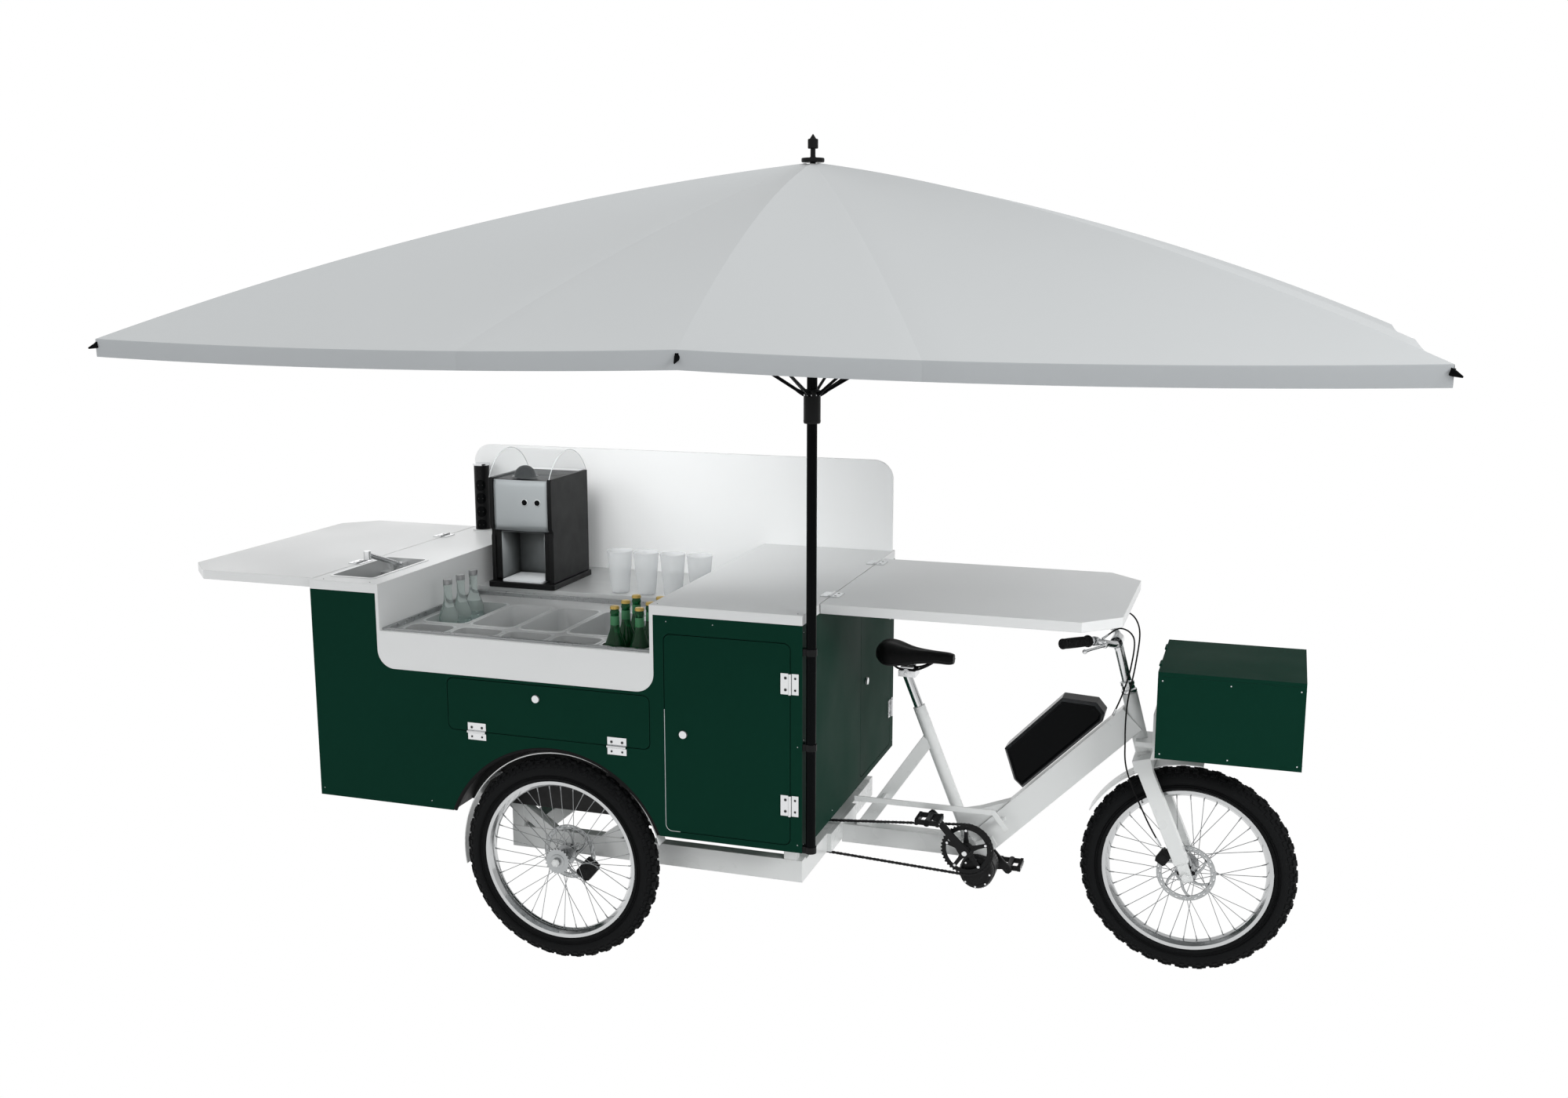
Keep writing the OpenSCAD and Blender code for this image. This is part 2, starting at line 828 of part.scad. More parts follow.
module drive_chain() place() color(BLACK) {
    v = bb - jack;
    slope = atan2(v[1], v[0]);
    tilt = asin((ring_r - jack_r) / norm(v));
    top = slope + tilt + 90;
    low = slope - tilt - 90;
    for (a = [top, low])
        beam(jack + jack_r * [cos(a), sin(a)], bb + ring_r * [cos(a), sin(a)], chain_h, 8, chain_y);
    chain_wrap(bb, ring_r, low, top);
    chain_wrap(jack, jack_r, top, low + 360);
}

motor = [2114, 249];
motor_d = 114;

module drive_motor() place() color(BLACK) {
    drum(motor, motor_d, -60, 62);
    drum(motor, 84, -64, -60);
    drum(motor, 60, 62, 70);
}

function on_tube(t, h) = tube_low + t * tube_dir + h * [-tube_dir[1], tube_dir[0]];

module battery() place() color(BLACK) {
    slice_y(-45, 45)
        polygon([[2193, 672], [2369, 854], [2476, 848], [2503, 816], [2497, 790], [2254, 547], [2226, 572]]);
    // Rail between the battery and the down tube
    h = (tube_h + batt_rail_h) / 2 + 0.02;
    beam(on_tube(228, h), on_tube(524, h), batt_rail_h, 40);
}

// Front box on its carrier
box_x = 2670;
box_z = 743;
box_wall = 9;
lid_t = 12;

module front_box() place() color(GREEN) {
    difference() {
        block([box_x, -box_w / 2, box_z], [box_x + box_len, box_w / 2, box_z + box_h]);
        block([box_x + box_wall, -box_w / 2 + box_wall, box_z + box_wall],
            [box_x + box_len - box_wall, box_w / 2 - box_wall, box_z + box_h + 1]);
    }
}

module front_box_lid() place() color(GREEN) {
    z = box_z + box_h + free;
    block([box_x, -box_w / 2, z], [box_x + box_len, box_w / 2, z + lid_t]);
    for (y = [-box_w / 4, box_w / 4])
        rod([box_x, y - 25, z + lid_t], [box_x, y + 25, z + lid_t], 8);
}

// Places its children in the frame of the steering axis, z along it from the head tube's low end
module steer_frame() {
    translate([head_low[0], 0, head_low[1]])
        rotate([0, -head_lean, 0])
            children();
}

leg_y = 67;

module fork() place() color(WHITE) {
    steer_frame() {
        translate([0, 0, -48])
            cylinder(h = head_len + 88, d = steerer_d);
        translate([0, 0, -10])
            cylinder(h = 9, d = 44);
        translate([0, 0, head_len + 1])
            cylinder(h = 8, d = 44);
        translate([-28, -80, -48])
            cube([56, 160, 40]);
    }
    for (s = [-1, 1]) {
        beam([2630, 668], [2757, 370], 46, 26, s * leg_y);
        beam([2750, 388], [2778, 312], 34, 14, s * leg_y);
    }
    drum(front_axle, 16, -86, 86);
    for (s = [-1, 1])
        translate([front_axle[0], s * 84, front_axle[1]])
            rotate([90, 0, 0])
                cylinder(h = 8, d = 26, center = true, $fn = 6);
}

module front_fender() place() color(WHITE) {
    guard_arc(front_axle, fender_r, 84, 151, tyre_w, 0);
    // Stud up to the fork crown
    p = front_axle + (fender_r + 2) * [cos(113), sin(113)];
    q = front_axle + (fender_r + 4.5) * [cos(113), sin(113)];
    rod3(p, q, 16);
}

front_rotor_y = -44;

module front_caliper() place() color(BLACK) {
    p = front_axle + (rotor_d / 2 - 8) * [cos(147), sin(147)];
    caliper(front_axle, 147, front_rotor_y, 18);
    // Tab on the inner face of the fork leg
    block([p[0] + 10, -leg_y + 13, p[1] - 2], [p[0] + 58, -leg_y + 17, p[1] + 22]);
}

// Handlebar points on one side: clamp, bend, lever mount and end
stem_top = head_at(355);
bar_mid = [stem_top[0], 0, stem_top[1]];
bar_low = bar_mid + [0, -55, 0];
bar_grip = bar_mid + [-60, -172, 35];
bar_end = bar_mid + [-128, -285, 47];
lever_pin = bar_mid + [-20, -160, 23];
lever_end = bar_mid + [-66, -272, 25];
pin_d = 6;

module handlebar() place() color("#bfc2c3") {
    steer_frame()
        translate([0, 0, head_len + 40])
            cylinder(h = 128, d = 29);
    rod(bar_mid - [0, 26, 0], bar_mid + [0, 26, 0], 36);
    for (s = [1, -1])
        mirror([0, s < 0 ? 1 : 0, 0]) {
            rod(bar_mid, bar_low, 22);
            translate(bar_low)
                sphere(d = 23);
            rod(bar_low, bar_grip, 22);
            translate(bar_grip)
                sphere(d = 23);
            rod(bar_grip, bar_end, 22);
            // Lever mount with its pin
            block(lever_pin + [-34, -12, 6], lever_pin + [8, 10, 14]);
            translate(lever_pin - [0, 0, 10])
                cylinder(h = 20, d = pin_d);
        }
}

module grips() place() color(BLACK) {
    v = bar_end - bar_grip;
    for (s = [1, -1])
        mirror([0, s < 0 ? 1 : 0, 0])
            difference() {
                rod(bar_grip + 0.1 * v, bar_end + 0.04 * v, 32);
                rod(bar_grip, bar_end, 22);
            }
}

module lever() {
    difference() {
        union() {
            translate(lever_pin - [0, 0, 8])
                cylinder(h = 13, d = 15);
            rod(lever_pin - [0, 0, 2], lever_end, 9);
            translate(lever_end)
                sphere(d = 14);
        }
        translate(lever_pin - [0, 0, 20])
            cylinder(h = 40, d = pin_d + 2 * fit);
    }
}

module brake_lever_right() place() color("#bfc2c3") lever();

module brake_lever_left() place() color("#bfc2c3") mirror([0, 1, 0]) lever();

// Routes of the two brake cables: to the frame, and down the fork to the caliper
cable_d = 5;
cable_frame = [[2500, -160, 1084], [2546, -112, 1108], [2584, -70, 1070], [2578, -52, 980], [2556, -42, 890],
    [2526, -18, 808]];
cable_fork = [[2500, 160, 1084], [2556, 84, 1112], [2596, -24, 1086], [2592, -60, 990], [2572, -64, 860],
    [2570, -62, 740], [2580, -54, 640], [2640, -49, 500], [2690, -48, 410]];

// A smooth curve through the points p, with n steps between two of them
function curve(p, n) = [
    for (i = [0 : len(p) - 2], k = [0 : n - 1])
        spline(p[max(i - 1, 0)], p[i], p[i + 1], p[min(i + 2, len(p) - 1)], k / n),
    p[len(p) - 1]
];
function spline(a, b, c, d, t) =
    0.5 * (2 * b + (c - a) * t + (2 * a - 5 * b + 4 * c - d) * t * t + (3 * b - a - 3 * c + d) * t * t * t);
function unit(v) = v / norm(v);

module tube_along(points, d, sides = 8) {
    n = len(points);
    rings = [
        for (i = [0 : n - 1])
            let (t = unit(points[min(i + 1, n - 1)] - points[max(i - 1, 0)]),
                u = unit(cross(t, [0.5, 0.8, 0.3])),
                w = cross(t, u))
                for (k = [0 : sides - 1])
                    points[i] + d / 2 * (cos(360 * k / sides) * u + sin(360 * k / sides) * w)
    ];
    faces = [
        for (i = [0 : n - 2], k = [0 : sides - 1])
            let (a = i * sides + k, b = i * sides + (k + 1) % sides)
                [a, b, b + sides, a + sides],
        [for (k = [sides - 1 : -1 : 0]) k],
        [for (k = [0 : sides - 1]) (n - 1) * sides + k]
    ];
    polyhedron(rings, [for (f = faces) [for (i = [len(f) - 1 : -1 : 0]) f[i]]]);
}

module brake_cables() place() color(BLACK) {
    tube_along(curve(cable_frame, 4), cable_d);
    tube_along(curve(cable_fork, 4), cable_d);
}

seat_top = bb + (seat_len + 116) * seat_dir;

module seat_post() place() color("#b9bcbd") {
    rod3(bb + 330 * seat_dir, seat_top, post_d);
    // Clamp head under the saddle rails
    block([seat_top[0] - 20, -30, seat_top[1] - 6], [seat_top[0] + 36, 30, seat_top[1] + 14]);
}

module saddle() place() color(BLACK) {
    hull() {
        for (s = [-1, 1])
            translate([1806, s * 44, 946])
                sphere(d = 78, $fn = 32);
        translate([1880, 0, 948])
            sphere(d = 62, $fn = 32);
    }
    hull() {
        translate([1880, 0, 948])
            sphere(d = 58, $fn = 32);
        translate([1998, 0, 938])
            sphere(d = 40, $fn = 32);
    }
    // Rails down to the clamp
    z = seat_top[1] + 17.5;
    for (s = [-1, 1]) {
        rod([1815, s * 20, 925], [1842, s * 20, z], 7);
        rod([1840, s * 20, z], [1900, s * 20, z], 7);
        rod([1898, s * 20, z], [1950, s * 12, 928], 7);
    }
}

crank_angle = 132;
crank_y = 97;
pedal_axle = 12;

module crankset() place() color(BLACK) {
    drum(bb, 20, -crank_y - 6, crank_y + 6);
    // Chainring: a ring on five arms
    difference() {
        drum(bb, 2 * (ring_r - chain_h / 2) - 1.6, chain_y - 2, chain_y + 2);
        drum(bb, 2 * ring_r - 34, chain_y - 3, chain_y + 3);
    }
    for (i = [0 : 4])
        beam(bb, bb + (ring_r - 12) * [cos(72 * i + 20), sin(72 * i + 20)], 16, 3, chain_y);
    drum(bb, 52, chain_y - 3, chain_y + 3);
    for (s = [-1, 1]) {
        tip = bb - s * crank_len * [cos(crank_angle), sin(crank_angle)];
        beam(bb, tip, 22, 10, s * crank_y);
        drum(bb, 36, s * crank_y - 6, s * crank_y + 6);
        drum(tip, 28, s * crank_y - 6, s * crank_y + 6);
        drum(tip, pedal_axle, min(s * crank_y, s * (crank_y + 96)), max(s * crank_y, s * (crank_y + 96)));
    }
}

module pedal(s) {
    tip = bb - s * crank_len * [cos(crank_angle), sin(crank_angle)];
    y0 = s > 0 ? crank_y + 8 : -crank_y - 94;
    difference() {
        union() {
            drum(tip, 22, y0, y0 + 86);
            for (d = [-1, 1])
                block([tip[0] + d * 34 - 6, y0 + 4, tip[1] - 11],
                    [tip[0] + d * 34 + 6, y0 + 84, tip[1] + 11]);
            for (y = [y0 + 4, y0 + 76])
                block([tip[0] - 34, y, tip[1] - 9], [tip[0] + 34, y + 8, tip[1] + 9]);
        }
        drum(tip, pedal_axle + 2 * fit, y0 - 2, y0 + 90);
    }
}

module pedal_right() place() color(BLACK) pedal(-1);

module pedal_left() place() color(BLACK) pedal(1);

spokes = 16;

// A spoked wheel in its own frame, z along the axle outwards: hub from z0 to z1, disc at zr
module wheel(z0, z1, flange, hub_d, zr) {
    rim_r = rim_d / 2;
    difference() {
        union() {
            rotate_extrude($fn = 96)
                polygon([[rim_r - 22, -9], [rim_r - 8, -25], [rim_r, -25],
                    [rim_r, 25], [rim_r - 8, 25], [rim_r - 22, 9]]);
            translate([0, 0, z0])
                cylinder(h = z1 - z0, d = hub_d);
            for (s = [-1, 1])
                translate([0, 0, s * flange - 2])
                    cylinder(h = 4, d = hub_d + 22);
            for (i = [0 : spokes - 1])
                let (s = i % 2 == 0 ? 1 : -1, a = 360 * i / spokes)
                    rod([(hub_d / 2 + 4) * cos(a), (hub_d / 2 + 4) * sin(a), s * flange],
                        [(rim_r - 15) * cos(a), (rim_r - 15) * sin(a), 0], 3);
            disc(zr, hub_d);
        }
        translate([0, 0, z0 - 1])
            cylinder(h = z1 - z0 + 2, d = 16 + 2 * fit);
    }
}

module disc(zr, hub_d) {
    translate([0, 0, zr - 1]) {
        difference() {
            cylinder(h = 2, d = rotor_d);
            translate([0, 0, -1])
                cylinder(h = 4, d = rotor_d - 32);
        }
        for (i = [0 : 4])
            rotate([0, 0, 72 * i])
                translate([hub_d / 2 - 4, -6, 0])
                    cube([rotor_d / 2 - 10 - hub_d / 2, 12, 2]);
    }
}

module tyre() {
    centre = tyre_d / 2 - tyre_w / 2;
    rotate_extrude($fn = 96)
        intersection() {
            translate([centre, 0])
                circle(d = tyre_w);
            translate([rim_d / 2, -tyre_w])
                square([tyre_d, 2 * tyre_w]);
        }
}

// Puts a wheel at its axle with its outer side to the right (s = -1) or the left (s = 1)
module at_wheel(c, s, y) {
    translate([c[0], s * y, c[1]])
        rotate([s < 0 ? 90 : -90, 0, 0])
            children();
}

module front_wheel() place() color(STEEL)
    at_wheel(front_axle, -1, 0) wheel(-48, 48, 34, 48, -front_rotor_y);

module front_tyre() place() color(BLACK) at_wheel(front_axle, -1, 0) tyre();

module rear_wheel(s) {
    at_wheel(rear_axle, s, rear_wheel_y) {
        wheel(-70, 40, 26, 44, -rotor_in);
        translate([0, 0, 34])
            difference() {
                cylinder(h = 5, d = 62);
                translate([0, 0, -1])
                    cylinder(h = 8, d = 30);
            }
    }
}

module rear_wheel_right() place() color(STEEL) rear_wheel(-1);

module rear_wheel_left() place() color(STEEL) rear_wheel(1);

module rear_tyre_right() place() color(BLACK) at_wheel(rear_axle, -1, rear_wheel_y) tyre();

module rear_tyre_left() place() color(BLACK) at_wheel(rear_axle, 1, rear_wheel_y) tyre();

// Clamps that hold the mast on the front of the cabinet, the lowest one closed below
clamp_z = [cab_z, cab_z + 320, cab_z + 610];
clamp_h = 20;
clamp_wall = 2.5;
mast_low = cab_z + 6;

module mast_clamps() place() color(BLACK) {
    difference() {
        for (z = clamp_z)
            block([cab_len, mast_y - 12, z], [mast_x, mast_y + 12, z + clamp_h]);
        translate([mast_x, mast_y, mast_low - free])
            cylinder(h = cab_h + 200, d = mast_d + 2 * fit);
    }
    for (z = clamp_z)
        translate([mast_x, mast_y, z])
            difference() {
                cylinder(h = clamp_h, d = mast_d + 2 * clamp_wall);
                translate([0, 0, max(mast_low - free - z, -1)])
                    cylinder(h = clamp_h + 2, d = mast_d + 2 * fit);
            }
}

module at_mast() {
    translate([mast_x, mast_y, 0])
        children();
}

module parasol_mast() place() color(BLACK)
    at_mast()
        translate([0, 0, mast_low])
            cylinder(h = crown_z - 38 - mast_low, d = mast_d);

module parasol_finial() place() color(BLACK)
    at_mast() {
        translate([0, 0, crown_z - 38])
            cylinder(h = 27, d = 52);
        translate([0, 0, crown_z - 12])
            cylinder(h = 30, d = 16);
        translate([0, 0, crown_z])
            cylinder(h = 11, d = 64);
        translate([0, 0, crown_z + 4])
            cylinder(h = 34, d = 15);
        translate([0, 0, crown_z + 37])
            cylinder(h = 26, d = 29);
        translate([0, 0, crown_z + 62])
            cylinder(h = 13, d1 = 18, d2 = 3);
        // Ring that the ribs are strung on, held by fins between them
        translate([0, 0, ring_z])
            rotate_extrude()
                translate([ring_rad, 0])
                    circle(d = 3.6, $fn = 24);
        for (i = [0 : 7])
            let (a = bearing(i) + ((bearing((i + 1) % 8) - bearing(i) + 360) % 360) / 2)
                rod([20 * cos(a), 20 * sin(a), ring_z], [ring_rad * cos(a), ring_rad * sin(a), ring_z], 5);
    }

runner_z = [1741, 1839];

module parasol_runner() place() color(BLACK)
    at_mast()
        difference() {
            translate([0, 0, runner_z[0]])
                cylinder(h = runner_z[1] - runner_z[0], d = 46);
            translate([0, 0, runner_z[0] - 1])
                cylinder(h = runner_z[1] - runner_z[0] + 2, d = mast_d + 0.8);
        }

// Fall of each rib from the ring it turns on, and how far its tip stands out past the canopy
function rib_run(i) = norm(rib_ends[i]) - ring_rad;
function rib_low() = edge_z - sheet_t - rib_gap - rib_h / 2 * 1.12;
function rib_fall(i) = atan2(ring_z - rib_low(), rib_run(i));
function rib_chord(i) = norm([rib_run(i), ring_z - rib_low()]);
function rib_rise(i) = (canopy_bow - 4.5) * cos(rib_fall(i));
function rib_radius(i) = (rib_chord(i) * rib_chord(i) / 4 + rib_rise(i) * rib_rise(i)) / (2 * rib_rise(i));
function rib_half(i) = asin(rib_chord(i) / 2 / rib_radius(i));
function tip_fall(i) = rib_fall(i) + rib_half(i);
function tip_over(i) = rib_tip * cos(tip_fall(i)) + tip_end / 2 * sin(tip_fall(i)) - tip_root;

// A point of a bowed rib, as [r, z]: at the angle a of its arc, and off its centre line
rib_steps = 14;
function rib_point(i, a, off) =
    let (f = rib_fall(i), r = rib_radius(i), x = (r + off) * cos(a), z = (r + off) * sin(a) + rib_rise(i) - r)
        [ring_rad + rib_run(i) / 2, (ring_z + rib_low()) / 2]
            + [x * cos(f) + z * sin(f), z * cos(f) - x * sin(f)];
function rib_side(i, off) =
    let (h = rib_half(i), a0 = 90 + h + 5 / rib_radius(i) * 180 / PI, a1 = 90 - h)
        [for (k = [0 : rib_steps]) rib_point(i, a0 + (a1 - a0) * k / rib_steps, off)];
function reversed(list) = [for (k = [len(list) - 1 : -1 : 0]) list[k]];

module rib(i) {
    at_mast()
        rotate([0, 0, bearing(i)])
            difference() {
                union() {
                    slice_y(-rib_w / 2, rib_w / 2)
                        polygon(concat(rib_side(i, rib_h / 2), reversed(rib_side(i, -rib_h / 2))));
                    // Cone at the tip
                    translate([norm(rib_ends[i]) - tip_root, 0, rib_low()])
                        rotate([0, 90 + tip_fall(i), 0])
                            cylinder(h = rib_tip, d1 = 17, d2 = tip_end);
                }
                translate([ring_rad, 0, ring_z])
                    rotate([90, 0, 0])
                        cylinder(h = 40, d = 4.3, center = true);
            }
}

module rib_front() place() color(BLACK) rib(0);
module rib_front_left() place() color(BLACK) rib(1);
module rib_left() place() color(BLACK) rib(2);
module rib_rear_left() place() color(BLACK) rib(3);
module rib_rear() place() color(BLACK) rib(4);
module rib_rear_right() place() color(BLACK) rib(5);
module rib_right() place() color(BLACK) rib(6);
module rib_front_right() place() color(BLACK) rib(7);

// Struts meet the ribs where all of them sink as far as the runner when the ribs fold
strut_d = 9;
fold_angle = 15.5;
runner_drop = 188;
function bow_at(i, x) = 4 * rib_rise(i) * x / rib_chord(i) * (1 - x / rib_chord(i));
function strut_fall(i, x) = rib_fall(i) - atan2(bow_at(i, x), x);
function strut_run(i, n = 4, x = 750) =
    let (f = strut_fall(i, x), l = runner_drop / (sin(f + fold_angle) - sin(f)))
        n == 0 ? [l, f] : strut_run(i, n - 1, l * cos(rib_fall(i) - f));

module parasol_struts() place() color(BLACK)
    at_mast()
        for (i = [0 : 7]) {
            a = bearing(i);
            s = strut_run(i);
            r = ring_rad + s[0] * cos(s[1]);
            z = ring_z - s[0] * sin(s[1]) - rib_h / 2 * 1.1 - strut_d / 2 - 4;
            rod([21 * cos(a), 21 * sin(a), runner_z[1] - 16], [r * cos(a), r * sin(a), z], strut_d);
        }

// Canopy: stations round the edge, each with a section from the hole to the hanging edge
edge_sag = 20;
notch = 22;

rows = 7;
function top_at(s, sag) = crown_z - canopy_drop * s + 4 * canopy_bow * s * (1 - s) - sag * s * s;
function station(i, u) =
    let (p = rib_ends[i], q = rib_ends[(i + 1) % 8], l = norm(q - p), e = p + u * (q - p), dir = unit(e),
        sag = 4 * edge_sag * u * (1 - u), h = min(u, 1 - u) * l < notch ? sheet_t + 0.6 : valance_h)
        concat(
            [for (k = [0 : rows])
                let (s = k / rows, r = hole_r + s * (norm(e) - hole_r))
                    [r * dir[0], r * dir[1], top_at(s, sag)]],
            [[e[0], e[1], edge_z - sag - h],
                [e[0] - sheet_t * dir[0], e[1] - sheet_t * dir[1], edge_z - sag - h]],
            [for (k = [rows : -1 : 0])
                let (s = k / rows, r = hole_r + s * (norm(e) - hole_r) - (k == rows ? sheet_t : 0))
                    [r * dir[0], r * dir[1], top_at(s, sag) - sheet_t]]
        );

module parasol_canopy() place() color(GREY)
    at_mast() {
        section = 2 * rows + 4;
        sections = [
            for (i = [0 : 7])
                let (l = norm(rib_ends[(i + 1) % 8] - rib_ends[i]), n = (notch - 1) / l, m = (notch + 1) / l)
                    for (u = [0, n, m, 0.25, 0.5, 0.75, 1 - m, 1 - n])
                        station(i, u)
        ];
        points = [for (s = sections) each s];
        count = len(sections);
        faces = [
            for (i = [0 : count - 1], k = [0 : section - 1])
                let (j = (i + 1) % count, m = (k + 1) % section)
                    for (f = [[i * section + k, i * section + m, j * section + m],
                        [i * section + k, j * section + m, j * section + k]])
                        f
        ];
        polyhedron(points, faces);
    }

cabinet();
counter();
splash_back();
steel_worktop();
food_pans();
counter_fittings();
side_door();
drop_hatch();
front_door();
rear_flap();
front_flap();
tap();
power_tower();
dispenser();
dispenser_hood();
button_left();
button_right();
counter_goods();
chassis();
rear_calipers();
jackshaft();
bike_frame();
drive_chain();
drive_motor();
battery();
front_box();
front_box_lid();
fork();
front_fender();
front_caliper();
handlebar();
grips();
brake_lever_right();
brake_lever_left();
brake_cables();
seat_post();
saddle();
crankset();
pedal_right();
pedal_left();
front_wheel();
front_tyre();
rear_wheel_right();
rear_tyre_right();
rear_wheel_left();
rear_tyre_left();
mast_clamps();
parasol_mast();
parasol_finial();
parasol_runner();
parasol_struts();
parasol_canopy();
rib_front();
rib_front_left();
rib_left();
rib_rear_left();
rib_rear();
rib_rear_right();
rib_right();
rib_front_right();
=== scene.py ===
from math import acos, asin, atan2, copysign, cos, dist, exp, hypot, pi, radians, sin, tau

import bpy
from mathutils import Matrix, Vector


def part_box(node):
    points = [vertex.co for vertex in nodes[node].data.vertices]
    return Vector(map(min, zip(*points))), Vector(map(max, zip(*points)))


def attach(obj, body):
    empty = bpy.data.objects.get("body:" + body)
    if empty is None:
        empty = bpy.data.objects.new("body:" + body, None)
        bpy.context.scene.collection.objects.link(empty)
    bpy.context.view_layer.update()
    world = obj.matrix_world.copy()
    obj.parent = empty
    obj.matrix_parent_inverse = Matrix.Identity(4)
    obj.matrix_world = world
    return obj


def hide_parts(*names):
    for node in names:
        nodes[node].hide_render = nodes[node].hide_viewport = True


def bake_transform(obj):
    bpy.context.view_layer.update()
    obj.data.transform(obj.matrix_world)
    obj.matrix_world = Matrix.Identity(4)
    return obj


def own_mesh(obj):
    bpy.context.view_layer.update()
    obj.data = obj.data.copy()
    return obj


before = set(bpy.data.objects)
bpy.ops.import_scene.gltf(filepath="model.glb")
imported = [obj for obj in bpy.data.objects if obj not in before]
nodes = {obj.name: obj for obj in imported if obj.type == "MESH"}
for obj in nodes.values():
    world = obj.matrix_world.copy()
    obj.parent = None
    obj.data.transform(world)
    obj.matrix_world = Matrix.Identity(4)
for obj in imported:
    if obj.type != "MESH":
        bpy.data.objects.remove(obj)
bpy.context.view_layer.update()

scene = bpy.context.scene

# cart coordinates in millimetres to the row frame in metres, found from the mast
MAST_X, MAST_Y = 1703.0, -535.0
mast_lo, mast_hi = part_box("parasol_mast")
SHIFT_X = (mast_lo[0] + mast_hi[0]) * 500 - MAST_X
SHIFT_Y = (mast_lo[1] + mast_hi[1]) * 500 - MAST_Y


def C(x, y, z):
    return Vector(((x + SHIFT_X) / 1000, (y + SHIFT_Y) / 1000, z / 1000))


# camera
cam = bpy.data.cameras.new("camera")
cam.lens = 35.06
cam.sensor_width = 36
cam_obj = bpy.data.objects.new("camera", cam)
scene.collection.objects.link(cam_obj)
cam_obj.location = (1.60559, -4.19708, 2.1875)
cam_obj.rotation_euler = (radians(90 - 10.574), 0, radians(18.243))
scene.camera = cam_obj


# materials
def put(node, **values):
    """Sets a node's sockets by name, with _ for a space."""
    for key, value in values.items():
        node.inputs[key.replace("_", " ")].default_value = value
    return node


def tools(tree):
    """Functions that add a node to a tree and link two sockets in it."""
    def new(kind, **values):
        return put(tree.nodes.new("ShaderNode" + kind), **values)
    return new, tree.links.new


def colour_mix(new):
    mix = new("Mix")
    mix.data_type = "RGBA"
    return mix


def material(name, col, rough=0.4, metal=0.0, var=0.06, vscale=5.0, rvar=0.06, bump=0.08, bscale=900.0,
             stretch=(1, 1, 1), bevel=0.0, edge=None, coat=0.0, spec=0.5, trans=0.0, ior=1.45, sheen=0.0,
             grain="noise", alpha=1.0):
    m = bpy.data.materials.new(name)
    m.use_nodes = True
    new, link = tools(m.node_tree)
    p = put(m.node_tree.nodes["Principled BSDF"], Metallic=metal, Coat_Weight=coat, Coat_Roughness=0.12,
            Specular_IOR_Level=spec, Transmission_Weight=trans, IOR=ior, Sheen_Weight=sheen, Alpha=alpha)
    place = new("TexCoord").outputs["Object"]
    mp = new("Mapping", Scale=stretch)
    link(place, mp.inputs["Vector"])
    big = new("TexNoise", Scale=vscale, Detail=5)
    link(mp.outputs["Vector"], big.inputs["Vector"])
    mix = colour_mix(new)
    mix.inputs[6].default_value = [c * (1 - var) for c in col] + [1]
    mix.inputs[7].default_value = [min(1, c * (1 + var)) for c in col] + [1]
    link(big.outputs["Fac"], mix.inputs[0])
    colour = mix.outputs[2]
    rr = new("MapRange", From_Min=0.3, From_Max=0.7, To_Min=max(0.02, rough - rvar), To_Max=min(1.0, rough + rvar))
    link(big.outputs["Fac"], rr.inputs["Value"])
    link(rr.outputs["Result"], p.inputs["Roughness"])
    bp = new("Bump", Strength=bump, Distance=0.0006)
    if grain == "cells":
        fine = new("TexVoronoi", Scale=bscale)
        link(place, fine.inputs["Vector"])
        link(fine.outputs["Distance"], bp.inputs["Height"])
    elif grain == "weave":
        both = new("Math")
        for k, direction in enumerate("XY"):
            wave = new("TexWave", Scale=bscale)
            wave.bands_direction = direction
            link(place, wave.inputs["Vector"])
            link(wave.outputs["Fac"], both.inputs[k])
        link(both.outputs[0], bp.inputs["Height"])
    else:
        fine = new("TexNoise", Scale=bscale, Detail=3)
        link(mp.outputs["Vector"], fine.inputs["Vector"])
        link(fine.outputs["Fac"], bp.inputs["Height"])
    if bevel > 0:
        bv = new("Bevel", Radius=bevel)
        bv.samples = 4
        link(bv.outputs["Normal"], bp.inputs["Normal"])
        if edge:
            # painted edge highlight, a lighter colour where the bevelled normal leaves the face's own
            dot = new("VectorMath")
            dot.operation = "DOT_PRODUCT"
            link(new("NewGeometry").outputs["Normal"], dot.inputs[0])
            link(bv.outputs["Normal"], dot.inputs[1])
            edge_highlight_mask = new("MapRange", From_Min=0.995, From_Max=0.86, To_Min=0.0, To_Max=0.55)
            link(dot.outputs["Value"], edge_highlight_mask.inputs["Value"])
            edge_highlight_mix = colour_mix(new)
            edge_highlight_mix.inputs[7].default_value = list(edge) + [1]
            link(edge_highlight_mask.outputs["Result"], edge_highlight_mix.inputs[0])
            link(colour, edge_highlight_mix.inputs[6])
            colour = edge_highlight_mix.outputs[2]
    link(colour, p.inputs["Base Color"])
    link(bp.outputs["Normal"], p.inputs["Normal"])
    return m
